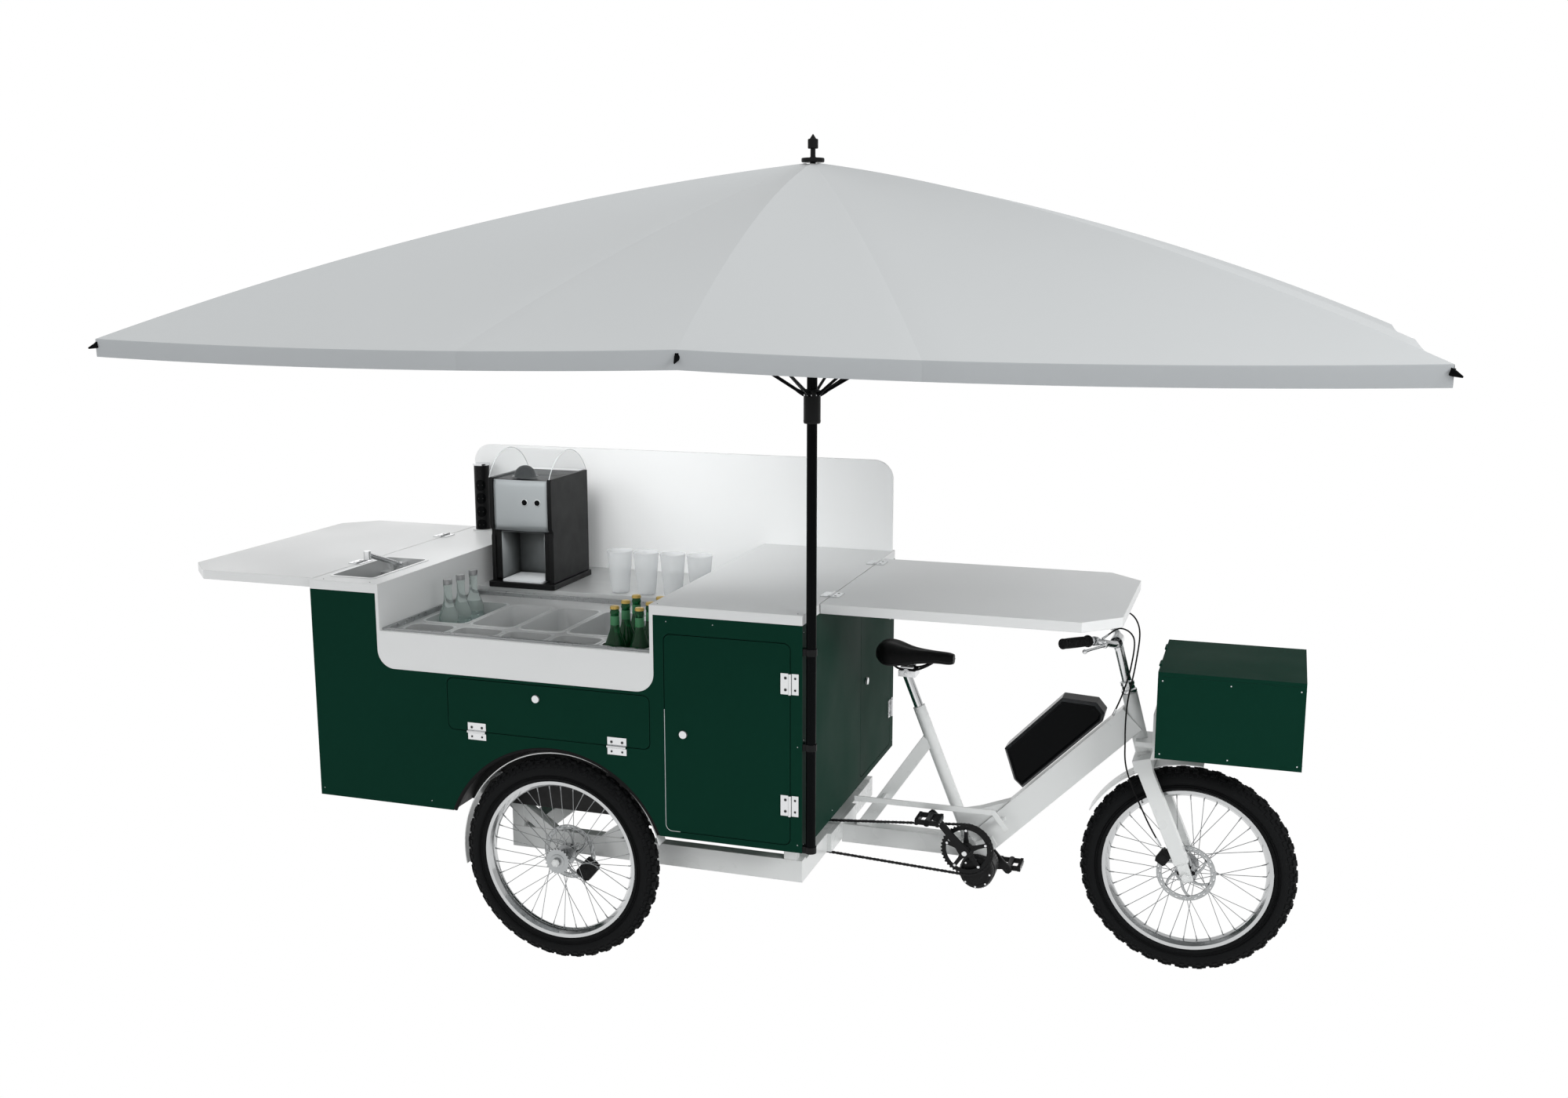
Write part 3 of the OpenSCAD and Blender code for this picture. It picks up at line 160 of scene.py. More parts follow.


# edge colours below are painted edge highlights, lighter than the face; on the splash board darker, painted edge
# shade
GREEN = material("green_paint", (0.0038, 0.0292, 0.0182), rough=0.46, var=0.08, vscale=3, bump=0.10, bevel=0.0022,
                 edge=(0.012, 0.050, 0.034), spec=0.016)
WHITE = material("white_panel", (0.72, 0.73, 0.73), rough=0.36, var=0.02, vscale=2.5, bump=0.05, bscale=700,
                 bevel=0.003, edge=(0.93, 0.93, 0.92), spec=0.4)
# a whiter copy of the white panel paint for the splash board under the canopy: painted light
LIT_SPLASH_BOARD = material("splash_board_painted_light", (0.95, 0.96, 0.96), rough=0.30, var=0.015, vscale=2, bump=0.03, bscale=500,
                 bevel=0.002, edge=(0.78, 0.80, 0.80), spec=0.4)
FRAME = material("white_frame_paint", (0.70, 0.715, 0.71), rough=0.30, var=0.02, vscale=8, bump=0.04, bscale=600,
                 bevel=0.004, edge=(0.93, 0.93, 0.93), coat=0.35)
STEEL = material("brushed_steel", (0.60, 0.61, 0.61), rough=0.36, metal=0.60, vscale=30, rvar=0.08, bump=0.12,
                 stretch=(0.05, 1, 1), bevel=0.002)
# a lighter copy of the steel for the pans and fittings under the canopy: painted light
LIT_PAN_STEEL = material("pan_steel_painted_light", (0.72, 0.73, 0.73), rough=0.34, metal=0.62, var=0.03, vscale=6, rvar=0.03, bump=0.02)
CHROME = material("bright_metal", (0.74, 0.75, 0.76), rough=0.20, metal=1, var=0.04, vscale=60, rvar=0.07, bump=0.04,
                  bevel=0.0008)
ALLOY = material("wheel_alloy", (0.40, 0.41, 0.415), rough=0.30, metal=0.95, var=0.05, vscale=40, bump=0.05,
                 bscale=800, bevel=0.001)
PLASTIC = material("black_plastic", (0.0060, 0.0062, 0.0065), rough=0.38, var=0.15, vscale=20, bump=0.12, bscale=1500,
                   bevel=0.0012, edge=(0.03, 0.03, 0.033), spec=0.18)
GLOSS = material("gloss_black", (0.0022, 0.0025, 0.0028), rough=0.16, var=0.1, vscale=20, bump=0.02, bscale=300,
                 bevel=0.0012, spec=0.06)
RUBBER = material("black_rubber", (0.0060, 0.0062, 0.0064), rough=0.62, var=0.2, vscale=30, bump=0.3, bscale=1800,
                  spec=0.15)
TYRE = material("tyre_rubber", (0.0072, 0.0076, 0.0080), rough=0.66, var=0.25, vscale=25, bump=0.30, bscale=1200,
                bevel=0.001, edge=(0.016, 0.016, 0.017), spec=0.09)
DARK = material("dark_metal", (0.0075, 0.0078, 0.0082), rough=0.36, metal=0.3, var=0.15, vscale=30, bump=0.08,
                bevel=0.001, edge=(0.05, 0.05, 0.052), spec=0.25)
MAST = material("mast_enamel", (0.0026, 0.0030, 0.0034), rough=0.32, var=0.12, vscale=12, bump=0.05, spec=0.04)
CLOTH = material("canopy_cloth", (0.530, 0.548, 0.555), rough=0.88, var=0.025, vscale=1.2, rvar=0.05, bump=0.10,
                 bscale=300, sheen=0.12, spec=0.2, grain="weave")
# a darker copy of the canopy cloth for the hanging valance: painted shade
SHADED_VALANCE_CLOTH = material("valance_cloth_painted_shade", (0.378, 0.396, 0.408), rough=0.88, var=0.03, vscale=2, rvar=0.05, bump=0.12,
                         bscale=300, sheen=0.1, spec=0.2, grain="weave")
SADDLE = material("saddle_cover", (0.0048, 0.0050, 0.0052), rough=0.46, var=0.15, vscale=15, bump=0.35, spec=0.12,
                  sheen=0.02, grain="cells")
SILVER = material("silver_face", (0.36, 0.385, 0.395), rough=0.36, metal=0.35, var=0.05, vscale=8, bump=0.04,
                  bevel=0.0015)
GREY = material("bay_grey", (0.25, 0.265, 0.27), rough=0.5, vscale=10, bump=0.08)
PALE = material("pale_plastic", (0.66, 0.68, 0.69), rough=0.42, var=0.04, vscale=10, bump=0.06, bevel=0.001)
CLEAR = material("clear_acrylic", (0.36, 0.39, 0.40), rough=0.12, var=0.03, rvar=0.05, bump=0.01, bscale=200,
                 alpha=0.055)
# light colour for the edges of the hood's clear cheeks: painted highlight
HOOD_EDGE_HIGHLIGHT = material("acrylic_edge_painted_highlight", (0.80, 0.83, 0.84), rough=0.16, var=0.03, rvar=0.05, bump=0.02, bscale=200,
                      alpha=0.55)
FROST = material("frosted_cup", (0.80, 0.82, 0.83), rough=0.40, var=0.03, rvar=0.08, bump=0.06, spec=0.4, alpha=0.34)
GREEN_GLASS = material("green_glass", (0.007, 0.125, 0.035), rough=0.07, var=0.08, rvar=0.03, bump=0.02, bscale=150,
                       trans=0.72, ior=1.35)
PALE_GLASS = material("pale_glass", (0.80, 0.88, 0.855), rough=0.07, var=0.03, rvar=0.03, bump=0.02, bscale=150,
                      trans=0.85, ior=1.2)
RIM = material("rim_chrome", (0.56, 0.57, 0.575), rough=0.15, metal=1, var=0.05, vscale=40, bump=0.03, bscale=800,
               bevel=0.001)
SPOKE = material("spoke_steel", (0.30, 0.31, 0.315), rough=0.30, metal=1, vscale=40, bump=0.05)
ROTOR = material("disc_steel", (0.43, 0.445, 0.45), rough=0.36, metal=0.9, vscale=60, rvar=0.08, bump=0.06,
                 bscale=1200, bevel=0.0006)
LOCK = material("lock_metal", (0.36, 0.365, 0.37), rough=0.34, metal=1, vscale=60, bump=0.05, bevel=0.0008)
GOLD = material("gold_cap", (0.62, 0.44, 0.13), rough=0.32, metal=0.9, vscale=60, bump=0.1, bscale=1500)
BAND = material("neck_band", (0.045, 0.20, 0.085), rough=0.5, var=0.08, vscale=60, bump=0.05)
# flat black standing for the shade in holes, slots, recesses and inside the wheel arches: painted shade
SHADE_BLACK = material("painted_shade_black", (0.004, 0.004, 0.004), rough=0.6, var=0.2, vscale=50, bump=0.1)
BATTERY_RIM = material("battery_rim", (0.020, 0.021, 0.023), rough=0.42, var=0.1, vscale=20, bump=0.08, bscale=1200)
WATER_BAND = material("bottle_film", (0.62, 0.74, 0.72), rough=0.25, var=0.05, vscale=30, bump=0.03, bscale=300,
                      trans=0.6, ior=1.2)


def paint_where(name, index, test):
    """Gives material slot index to each face of a CAD node whose centre, in cart millimetres, passes the test."""
    for f in nodes[name].data.polygons:
        c = f.center
        if test(c[0] * 1000 - SHIFT_X, c[1] * 1000 - SHIFT_Y, c[2] * 1000):
            f.material_index = index


# mesh building, in millimetres of a local frame unless said otherwise
def polar(r, a, *rest):
    """Point at radius r and angle a, followed by any other coordinate."""
    return (r * cos(a), r * sin(a), *rest)


def circle(n, r, *rest):
    return [polar(r, tau * k / n, *rest) for k in range(n)]


def mirrored(half):
    """Half an outline, followed by its mirror image across the first axis."""
    return half + [(x, -y) for x, y in reversed(half)]


def strips(rows, n, loop=True, flip=False):
    """Quads between neighbouring rows of n points, closed round each row if loop is true."""
    faces = []
    for r in range(rows - 1):
        for k in range(n if loop else n - 1):
            a, b = r * n + k, r * n + (k + 1) % n
            faces.append((a, a + n, b + n, b) if flip else (a, b, b + n, a + n))
    return faces


def toothed(teeth, root, tip, wide, narrow):
    """Outline of a gear, with half widths of its teeth as shares of their pitch."""
    corners = ((-wide, root), (-narrow, tip), (narrow, tip), (wide, root))
    return [polar(r, tau * (k + da) / teeth) for k in range(teeth) for da, r in corners]


BEVEL_ANGLE = 38


class Build:
    def __init__(self):
        self.v, self.f, self.m = [], [], []

    def add(self, verts, faces, mat=0):
        off = len(self.v)
        self.v += [tuple(p) for p in verts]
        self.f += [tuple(i + off for i in face) for face in faces]
        self.m += [mat] * len(faces)

    def lathe(self, prof, m, n=40, mat=0, closed=False):
        """Turns a profile of (radius, height) points round the matrix's own z."""
        rings, verts, faces = [], [], []
        for r, h in prof:
            ring = circle(n, r, h) if r > 1e-6 else [(0, 0, h)]
            rings.append(range(len(verts), len(verts) + len(ring)))
            verts += [m @ Vector(p) for p in ring]
        for a, b in zip(rings, rings[1:] + (rings[:1] if closed else [])):
            for k in range(n):
                j = (k + 1) % n
                if len(a) == 1 < len(b):
                    faces.append((a[0], b[j], b[k]))
                elif len(b) == 1 < len(a):
                    faces.append((a[k], a[j], b[0]))
                elif len(a) > 1:
                    faces.append((a[k], a[j], b[j], b[k]))
        self.add(verts, faces, mat)

    def tube(self, pts, r, n=10, mat=0):
        """Tube through points of the row frame, with one radius or one for each point, in metres."""
        pts = [Vector(p) for p in pts]
        radii = r if hasattr(r, "__len__") else [r] * len(pts)
        last = len(pts) - 1
        tang = [(pts[min(k + 1, last)] - pts[max(k - 1, 0)]).normalized() for k in range(last + 1)]
        side = tang[0].orthogonal().normalized()
        verts = []
        for k, p in enumerate(pts):
            side = (side - tang[k] * side.dot(tang[k])).normalized()
            other = tang[k].cross(side)
            verts += [p + radii[k] * (c * side + s * other) for c, s in circle(n, 1)]
        caps = [tuple(reversed(range(n))), tuple(range(last * n, last * n + n))]
        self.add(verts, strips(len(pts), n) + caps, mat)

    def prism(self, poly, m, h0, h1, mat=0):
        n = len(poly)
        verts = [m @ Vector((x, y, h)) for h in (h0, h1) for x, y in poly]
        self.add(verts, [tuple(reversed(range(n))), tuple(range(n, 2 * n))] + strips(2, n), mat)

    def block(self, a, b, mat=0):
        poly = [(a[0], a[1]), (b[0], a[1]), (b[0], b[1]), (a[0], b[1])]
        self.prism(poly, at(0, 0, 0), a[2], b[2], mat)

    def loft(self, rings, turned=False):
        """Closed skin over rings of points in the row frame."""
        n, verts = len(rings[0]), [p for ring in rings for p in ring]
        total = len(verts)
        faces = [tuple(range(n)), tuple(range(total - 1, total - n - 1, -1))] + strips(len(rings), n, flip=True)
        self.add(verts, [tuple(reversed(f)) for f in faces] if turned else faces)

    def make(self, name, mats, body, reps=(), slot=None, sharp=32, bevel=0.0, ride=True):
        me = bpy.data.meshes.new(name)
        me.from_pydata(self.v, [], self.f)
        me.update()
        for m in mats:
            me.materials.append(m)
        me.polygons.foreach_set("material_index", self.m)
        me.polygons.foreach_set("use_smooth", [True] * len(self.f))
        me.set_sharp_from_angle(angle=radians(sharp))
        o = bpy.data.objects.new(name, me)
        scene.collection.objects.link(o)
        if bevel > 0:
            mod = o.modifiers.new("bevel", "BEVEL")
            mod.width = bevel
            mod.segments = 2
            mod.limit_method = "ANGLE"
            mod.angle_limit = radians(BEVEL_ANGLE)
            mod.harden_normals = True
        if ride:
            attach(o, body)
        if reps:
            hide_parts(*reps)
        return o


def thicken(o, thickness, offset=0):
    mod = o.modifiers.new("thick", "SOLIDIFY")
    mod.thickness = thickness
    mod.offset = offset


MM = Matrix.Scale(0.001, 4)
TURN = {"z": Matrix.Identity(4), "-y": Matrix.Rotation(radians(90), 4, "X"),
        "+y": Matrix.Rotation(radians(-90), 4, "X"), "+x": Matrix.Rotation(radians(90), 4, "Y")}
# the two sides of the cart and their outward axes
SIDES = (("right", -1), ("left", 1))
OUT = {-1: "-y", 1: "+y"}


def facing(v):
    return Vector(v).to_track_quat("Z", "Y").to_matrix().to_4x4()


def at(x, y, z, axis="z"):
    """Matrix from local millimetres, with local z along the axis, to the row frame. (0, 0, 0) is the cart's own."""
    return Matrix.Translation(C(x, y, z)) @ (TURN[axis] if isinstance(axis, str) else facing(axis)) @ MM


def smooth_path(points, per=8):
    """Catmull-Rom through points."""
    pts = [Vector(p) for p in points]
    ext = [2 * pts[0] - pts[1]] + pts + [2 * pts[-1] - pts[-2]]
    out = []
    for k in range(len(pts) - 1):
        a, b, c, d = ext[k:k + 4]
        for i in range(per):
            t = i / per
            out.append(0.5 * (2 * b + (c - a) * t + (2 * a - 5 * b + 4 * c - d) * t * t
                              + (3 * b - a - 3 * c + d) * t ** 3))
    return out + [pts[-1]]


# materials of the CAD nodes
for mats, names in (
        ([GREEN, CHROME, SHADE_BLACK], "cabinet side_door drop_hatch front_door"),
        ([GREEN], "front_box front_box_lid"),
        ([WHITE, CHROME], "counter rear_flap front_flap"),
        ([LIT_SPLASH_BOARD], "splash_back"),
        ([STEEL], "steel_worktop"),
        ([LIT_PAN_STEEL], "food_pans counter_fittings"),
        ([PLASTIC, CHROME], "power_tower"),
        ([CLEAR], "dispenser_hood"),
        ([GREEN_GLASS], "counter_goods"),
        ([FRAME], "chassis bike_frame fork front_fender"),
        ([PLASTIC], "dispenser button_left button_right rear_calipers front_caliper drive_motor battery"),
        ([PLASTIC], "parasol_runner parasol_struts mast_clamps parasol_finial"),
        ([MAST], "parasol_mast rib_front rib_front_left rib_left rib_rear_left"),
        ([MAST], "rib_rear rib_rear_right rib_right rib_front_right"),
        ([DARK], "jackshaft crankset pedal_right pedal_left drive_chain"),
        ([CHROME], "tap handlebar brake_lever_right brake_lever_left seat_post"),
        ([RUBBER], "grips brake_cables"),
        ([SADDLE], "saddle"),
        ([CLOTH], "parasol_canopy"),
        ([ALLOY], "front_wheel rear_wheel_right rear_wheel_left"),
        ([TYRE], "front_tyre rear_tyre_right rear_tyre_left")):
    for name in names.split():
        nodes[name].data.materials.clear()
        for mat in mats:
            nodes[name].data.materials.append(mat)

# bright hinges and locks on the panels; flat black inside the wheel arches, painted shade
SIDE_Y, FRONT_X, TOP_Z = 550, 1680, 1180
AXLE_X, AXLE_Z, FRONT_AXLE_X, HALF_TRACK = 876, 330, 2770, 533
ARCH_X, ARCH_Z, ARCH_R = 859, 305, 388


def proud(x, y, z):
    return y < -SIDE_Y - 0.05 or x > FRONT_X + 0.05


def in_arch(x, y, z):
    return 400 < abs(y) < SIDE_Y - 0.5 and hypot(x - ARCH_X, z - ARCH_Z) < ARCH_R + 8


for name in ("side_door", "drop_hatch", "front_door", "cabinet"):
    paint_where(name, 1, proud)
paint_where("cabinet", 2, in_arch)
for name in ("counter", "rear_flap", "front_flap"):
    paint_where(name, 1, lambda x, y, z: z > TOP_Z + 0.05)

# tyres with knobs
TREAD_R, TUBE_R, TUBE_H = 292, 33, 35
KNOBS, SPOKES, WHEEL_SIDES = 76, 36, 120


def knob(b, m, phi, theta, h_off, size, height):
    ct, st = cos(theta), sin(theta)
    base_r, base_h = TREAD_R + TUBE_R * ct - h_off * st, TUBE_H * st + h_off * ct
    turn = Matrix.Rotation(phi, 4, "Z")
    verts = []
    for lift, share in ((-1.5, 1.0), (height, 0.80)):
        for a, c in ((-1, -1), (1, -1), (1, 1), (-1, 1)):
            up = a * size[1] * share
            spot = (base_r + lift * ct - up * st, c * size[0] * share, base_h + lift * st + up * ct)
            verts.append(m @ turn @ Vector(spot))
    b.add(verts, [(4, 5, 6, 7), (0, 1, 5, 4), (1, 2, 6, 5), (2, 3, 7, 6), (3, 0, 4, 7)])


def tyre(name, x, y, body, node):
    b = Build()
    m = at(x, y, AXLE_Z, "-y")
    arc = [radians(10 * k) for k in range(-12, 13)]
    b.lathe([(260.5, -20), (262, -25), (267, -29)]
            + [(TREAD_R + TUBE_R * cos(a), TUBE_H * sin(a)) for a in arc]
            + [(267, 29), (262, 25), (260.5, 20)], m, n=WHEEL_SIDES)
    for k in range(KNOBS):
        phi = tau * k / KNOBS
        knob(b, m, phi, 0, 8 if k % 2 else -8, (9.5, 6.5), 5)
        for s in (-1, 1):
            knob(b, m, phi + pi / KNOBS, s * radians(33), 0, (9, 6.5), 4.6)
            knob(b, m, phi, s * radians(55), 2 * s * (k % 2), (8.5, 5), 2.2)
    # raised lines on each sidewall
    for s in (-1, 1):
        for r, h in ((272, 34.0), (279, 36.2)):
            b.lathe([(r - 1.2, s * 31.0), (r, s * h), (r + 1.2, s * 31.0)], m, n=WHEEL_SIDES)
    b.make(name, [TYRE], body, [node], "tyre_rubber", sharp=28)


def rotor(m, height):
    """Brake disc: a ring with two rows of slots, six swept arms, a hub ring and its bolts."""
    cells, radii = 72, (73.5, 77.5, 80, 83.5, 86, 89.8)
    n = len(radii)
    verts = [polar(r, tau * k / cells, height) for k in range(cells) for r in radii]
    faces = [(k * n + i, (k + 1) % cells * n + i, (k + 1) % cells * n + i + 1, k * n + i + 1)
             for k in range(cells) for i in range(n - 1) if (i, k % 4) not in ((1, 0), (3, 2))]
    for arm in range(6):
        off, steps = len(verts), 8
        for q in range(steps + 1):
            r, a = 20 + 56 * q / steps, radians(60 * arm + 40 * q / steps)
            w = (5.5 - 1.2 * sin(pi * q / steps)) / r
            verts += [polar(r, a - w, height), polar(r, a + w, height)]
        faces += [(k, k + 2, k + 3, k + 1) for k in range(off, off + 2 * steps, 2)]
    off, cells = len(verts), 48
    verts += [polar(r, tau * k / cells, height) for k in range(cells) for r in (15, 28)]
    for k in range(cells):
        a, c = off + 2 * k, off + 2 * ((k + 1) % cells)
        faces.append((a, c, c + 1, a + 1))
    disc = Build()
    disc.add([m @ Vector(v) for v in verts], faces)
    for k in range(6):
        spot = m @ Matrix.Translation(polar(22, radians(60 * k + 12), height))
        disc.lathe([(4.2, -2.2), (4.2, 2.0), (3.4, 2.6), (0, 2.6)], spot, n=12, mat=1)
    return disc


RIM_PROFILE = [(260, -25.5), (260, -22), (254, -19), (252, 0), (254, 19), (260, 22), (260, 25.5), (257, 26),
               (249, 24.5), (242, 14), (238.5, 8), (237.6, 0), (238.5, -8), (242, -14), (249, -24.5), (257, -26)]


def wheel(name, x, y, axis, body, node, hub, flange, flange_r, rotor_h, cog_h=None):
    m = at(x, y, AXLE_Z, axis)
    rim = Build()
    rim.lathe(RIM_PROFILE, m, n=WHEEL_SIDES, closed=True)
    rim.make(name + "_rim", [RIM], body, [node], "wheel_metal", sharp=40)
    lace = Build()
    for k in range(SPOKES):
        s = 1 if k % 2 else -1
        a_rim = tau * k / SPOKES
        a_hub = a_rim + radians(64) * (1 if k // 2 % 2 else -1)
        start, end = Vector(polar(flange_r - 4, a_hub, s * flange)), Vector(polar(239, a_rim, 2 * s))
        near = end + (start - end).normalized() * 14
        lace.tube([m @ start, m @ near], 0.0011, n=6)
        lace.tube([m @ near, m @ end], [0.0016, 0.0024], n=6)
        # the bent head of the spoke in the flange
        lace.tube([m @ start, m @ (start + Vector((0, 0, 3.2 * s)))], 0.0019, n=6)
    lace.make(name + "_spokes", [SPOKE], body, [node], "wheel_metal")
    core = Build()
    core.lathe(hub, m, n=48)
    core.make(name + "_hub", [ALLOY], body, [node], "wheel_metal")
    thicken(rotor(m, rotor_h).make(name + "_rotor", [ROTOR, DARK], body, [node], "wheel_metal", sharp=30), 0.0018)
    if cog_h is not None:
        gear, m = Build(), m @ Matrix.Translation((0, 0, cog_h))
        gear.prism(toothed(24, 39, 43, 0.30, 0.14), m, 0, 4)
        gear.lathe([(24, -5), (24, 5), (22, 6), (9.4, 6)], m, n=36)
        gear.lathe([(14, 5.5), (14, 9.5), (12.6, 10.4), (9.6, 10.4)], m, n=6, mat=1)
        gear.make(name + "_cog", [ROTOR, SPOKE], body, [node], "wheel_metal")


FRONT_HUB = [(8.3, -48), (14, -48), (15, -41), (20, -39), (35, -36), (35, -32), (24, -28), (21, 0), (24, 28),
             (35, 32), (35, 36), (20, 39), (15, 41), (14, 48), (8.3, 48)]
REAR_HUB = [(8.3, -70), (16, -70), (18, -59), (26, -57), (26, -52), (20, -49), (20, -31), (33, -28), (33, -24),
            (22, -20), (20, 0), (22, 20), (33, 24), (33, 28), (18, 31), (14, 40), (8.3, 40)]
wheel("front", FRONT_AXLE_X, 0, "-y", "front_roller", "front_wheel", FRONT_HUB, 34, 35, 44)
for side, s in SIDES:
    wheel("rear_" + side, AXLE_X, s * HALF_TRACK, OUT[s], side + "_roller", "rear_wheel_" + side, REAR_HUB,
          26, 33, -54, cog_h=33)
tyre("front_knobby_tyre", FRONT_AXLE_X, 0, "front_roller", "front_tyre")
for side, s in SIDES:
    tyre("rear_%s_knobby_tyre" % side, AXLE_X, s * HALF_TRACK, side + "_roller", "rear_tyre_" + side)

# parasol canopy: one curved sheet, cut along the bisectors between ribs so that each part rides its own rib
HALF_X, HALF_Y, CROWN_Z, DROP, BOW, SAG, VALANCE = 1577, 1008, 2463, 461, 55, 14, 45
SLACK = 0.5
# valance: depth of each row below the rim and its push outwards
VALANCE_ROWS = ((1.2, 0.8), (4, 1.2), (VALANCE * 0.5, 0.9), (VALANCE - 2, 0.5), (VALANCE, 0.2))
# seam allowance of each part, which lies under its neighbour
SEAM_W, SEAM_DROP = 9, 1
RIBS = [("front", 1, 0), ("front_left", 1, 1), ("left", 0, 1), ("rear_left", -1, 1), ("rear", -1, 0),
        ("rear_right", -1, -1), ("right", 0, -1), ("front_right", 1, -1)]
FOLD, RING_R, RING_Z = radians(15.5), 38, 2440


def canopy_top(s, u):
    between = 4 * u * (1 - u)
    return CROWN_Z - DROP * s + 4 * BOW * s * (1 - s) * (1 - SLACK * between) - SAG * between * s * s


def rib_end(i):
    _, x, y = RIBS[i % 8]
    return Vector((x * HALF_X, y * HALF_Y))


def under(x, y, z):
    """Point given from the mast's axis."""
    return C(MAST_X + x, MAST_Y + y, z)


def canopy_part(i, step):
    """Half a gore, from rib i to the bisector towards the next rib, with its valance and seam allowance."""
    name, p, q = RIBS[i][0], rib_end(i), rib_end(i + step)
    d = p.normalized()
    cut = (d + q.normalized()).normalized()
    # share of the edge from p to q at which the bisector crosses it
    e = q - p
    share = (p.x * cut.y - p.y * cut.x) / (e.y * cut.x - e.x * cut.y)
    out = Vector((e.y, -e.x)).normalized()
    if out.dot(p) < 0:
        out = -out
    rows, cols, s0 = 36, 10, 0.012
    verts = []
    # each row: distance along the ribs, height below the sheet, push outwards, drop and inset of the allowance
    course = [(s0 + (1 - s0) * r / rows, 0, 0, SEAM_DROP, 0) for r in range(rows + 1)]
    course += [(1, h, ease, 0, SEAM_DROP) for h, ease in VALANCE_ROWS]
    for s, h, ease, drop, tuck in course:
        for c in range(cols + 2):
            seam = c > cols
            u = share + SEAM_W / (s * e.length) if seam else share * c / cols
            w = s * (p + u * e) + out * (ease - (tuck if seam else 0))
            verts.append(under(w.x, w.y, canopy_top(s, u) - h - (drop if seam else 0)))
    faces = strips(len(course), cols + 2, loop=False, flip=True)
    b = Build()
    b.add(verts, faces if step > 0 else [tuple(reversed(f)) for f in faces])
    # the valance rows take the darker copy of the cloth, painted shade
    sheet_faces = rows * (cols + 1)
    b.m[sheet_faces:] = [1] * (len(b.m) - sheet_faces)
    tag = "canopy_" + name + ("_a" if step > 0 else "_b")
    o = b.make(tag, [CLOTH, SHADED_VALANCE_CLOTH], "arm_" + name, ["parasol_canopy"], "canopy_cloth", sharp=50)
    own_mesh(o)


for i in range(8):
    canopy_part(i, 1)
    canopy_part(i, -1)

# struts from the runner to the ribs
RIB_LOW, RIB_RISE, RUNNER_TRAVEL, PIVOT_R, PIVOT_Z, UNDER_RIB = 1986.76, 50.5, 188, 24, 1823, 16.2


def strut_reach(run):
    """Radius, height and slope of a strut's outer end, under a rib that runs this far from the ring."""
    fall = atan2(RING_Z - RIB_LOW, run)
    chord = hypot(run, RING_Z - RIB_LOW)
    rise = RIB_RISE * cos(fall)
    along, f, l = 750.0, 0.0, 0.0
    for _ in range(5):
        f = fall - atan2(4 * rise * along / chord * (1 - along / chord), along)
        l = RUNNER_TRAVEL / (sin(f + FOLD) - sin(f))
        along = l * cos(fall - f)
    return RING_R + l * cos(f), RING_Z - l * sin(f) - UNDER_RIB, f


for i, (name, _, _) in enumerate(RIBS):
    d = rib_end(i).normalized()
    r1, z1, f = strut_reach(rib_end(i).length - RING_R)
    b = Build()
    inner, outer = under(PIVOT_R * d.x, PIVOT_R * d.y, PIVOT_Z), under(r1 * d.x, r1 * d.y, z1)
    b.tube([inner.lerp(outer, k) for k in (0, 0.02, 0.03, 0.97, 0.98, 1)],
           [0.0055, 0.0055, 0.0043, 0.0043, 0.0056, 0.0056], n=10)
    side = Vector((-d.y, d.x, 0))
    b.tube([outer - side * 0.008, outer + side * 0.008], 0.0032, n=10, mat=1)
    b.tube([inner - side * 0.007, inner + side * 0.007], 0.0030, n=10, mat=1)
    o = b.make("strut_" + name, [MAST, CHROME], "runner", ["parasol_struts"], "dark_metal")
    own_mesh(o)

# runner: a grip sleeve with a flared collar
b = Build()
m = at(MAST_X, MAST_Y, 0)
b.lathe([(15.6, 1741), (22.5, 1741), (24.5, 1743.5), (24.5, 1828), (23.6, 1833), (21, 1837), (18, 1838.5),
         (15.6, 1838.5)], m, n=48)
b.lathe([(24.3, 1746), (25, 1747), (25, 1749.5), (24.3, 1750.5)], m, n=48)
b.make("runner_sleeve", [PLASTIC], "runner", ["parasol_runner"], "black_plastic")

# saddle: a crowned, padded shell with a wide rear and a long nose
SECTIONS = [(1768, 34, 968, 944), (1774, 54, 980, 932), (1788, 72, 987, 922), (1808, 82, 989, 916),
            (1832, 80, 984, 915), (1856, 67, 976, 917), (1880, 51, 970, 919), (1906, 38, 967, 921),
            (1935, 29, 965, 923), (1965, 24, 963, 925), (1990, 24, 962, 923), (2008, 23, 960, 923),
            (2017, 17, 956, 926)]
b = Build()
verts, ring = [], 28
for x, w, top, low in SECTIONS:
    for ct, st in circle(ring, 1):
        y = w * copysign(abs(ct) ** 0.75, ct)
        if st >= 0:
            z = low + 14 + (top - low - 14) * abs(st) ** 0.85
            # the channel along the middle of the seat
            z -= 5.0 * exp(-(y / 9) ** 2) * exp(-((x - 1850) / 75) ** 2)
        else:
            z = low + 14 - 14 * abs(st) ** 0.6
        verts.append(C(x, y, z))
faces = strips(len(SECTIONS), ring)
faces += [tuple(range(ring)), tuple(reversed(range(len(verts) - ring, len(verts))))]
b.add(verts, [tuple(reversed(f)) for f in faces])
seat = b.make("saddle_pad", [SADDLE], "seat", ["saddle"], "saddle_cover", sharp=80)
cushion = seat.modifiers.new("round", "SUBSURF")
cushion.levels = cushion.render_levels = 2
b = Build()
for s in (-1, 1):
    b.tube(smooth_path([C(1806, s * 24, 922), C(1822, s * 21, 912), C(1842, s * 20, 901), C(1870, s * 20, 901),
                        C(1898, s * 20, 901), C(1926, s * 16, 912), C(1950, s * 11, 926)], 5), 0.0035, n=10)
# seam bead round the base of the cover
loop = [C(x, w * 0.985, low + 13) for x, w, top, low in SECTIONS] \
    + [C(x, -w * 0.985, low + 13) for x, w, top, low in reversed(SECTIONS)]
b.tube(loop + [loop[0]], 0.0016, n=6)
b.make("saddle_rails", [DARK], "seat", ["saddle"], "dark_metal")
b = Build()
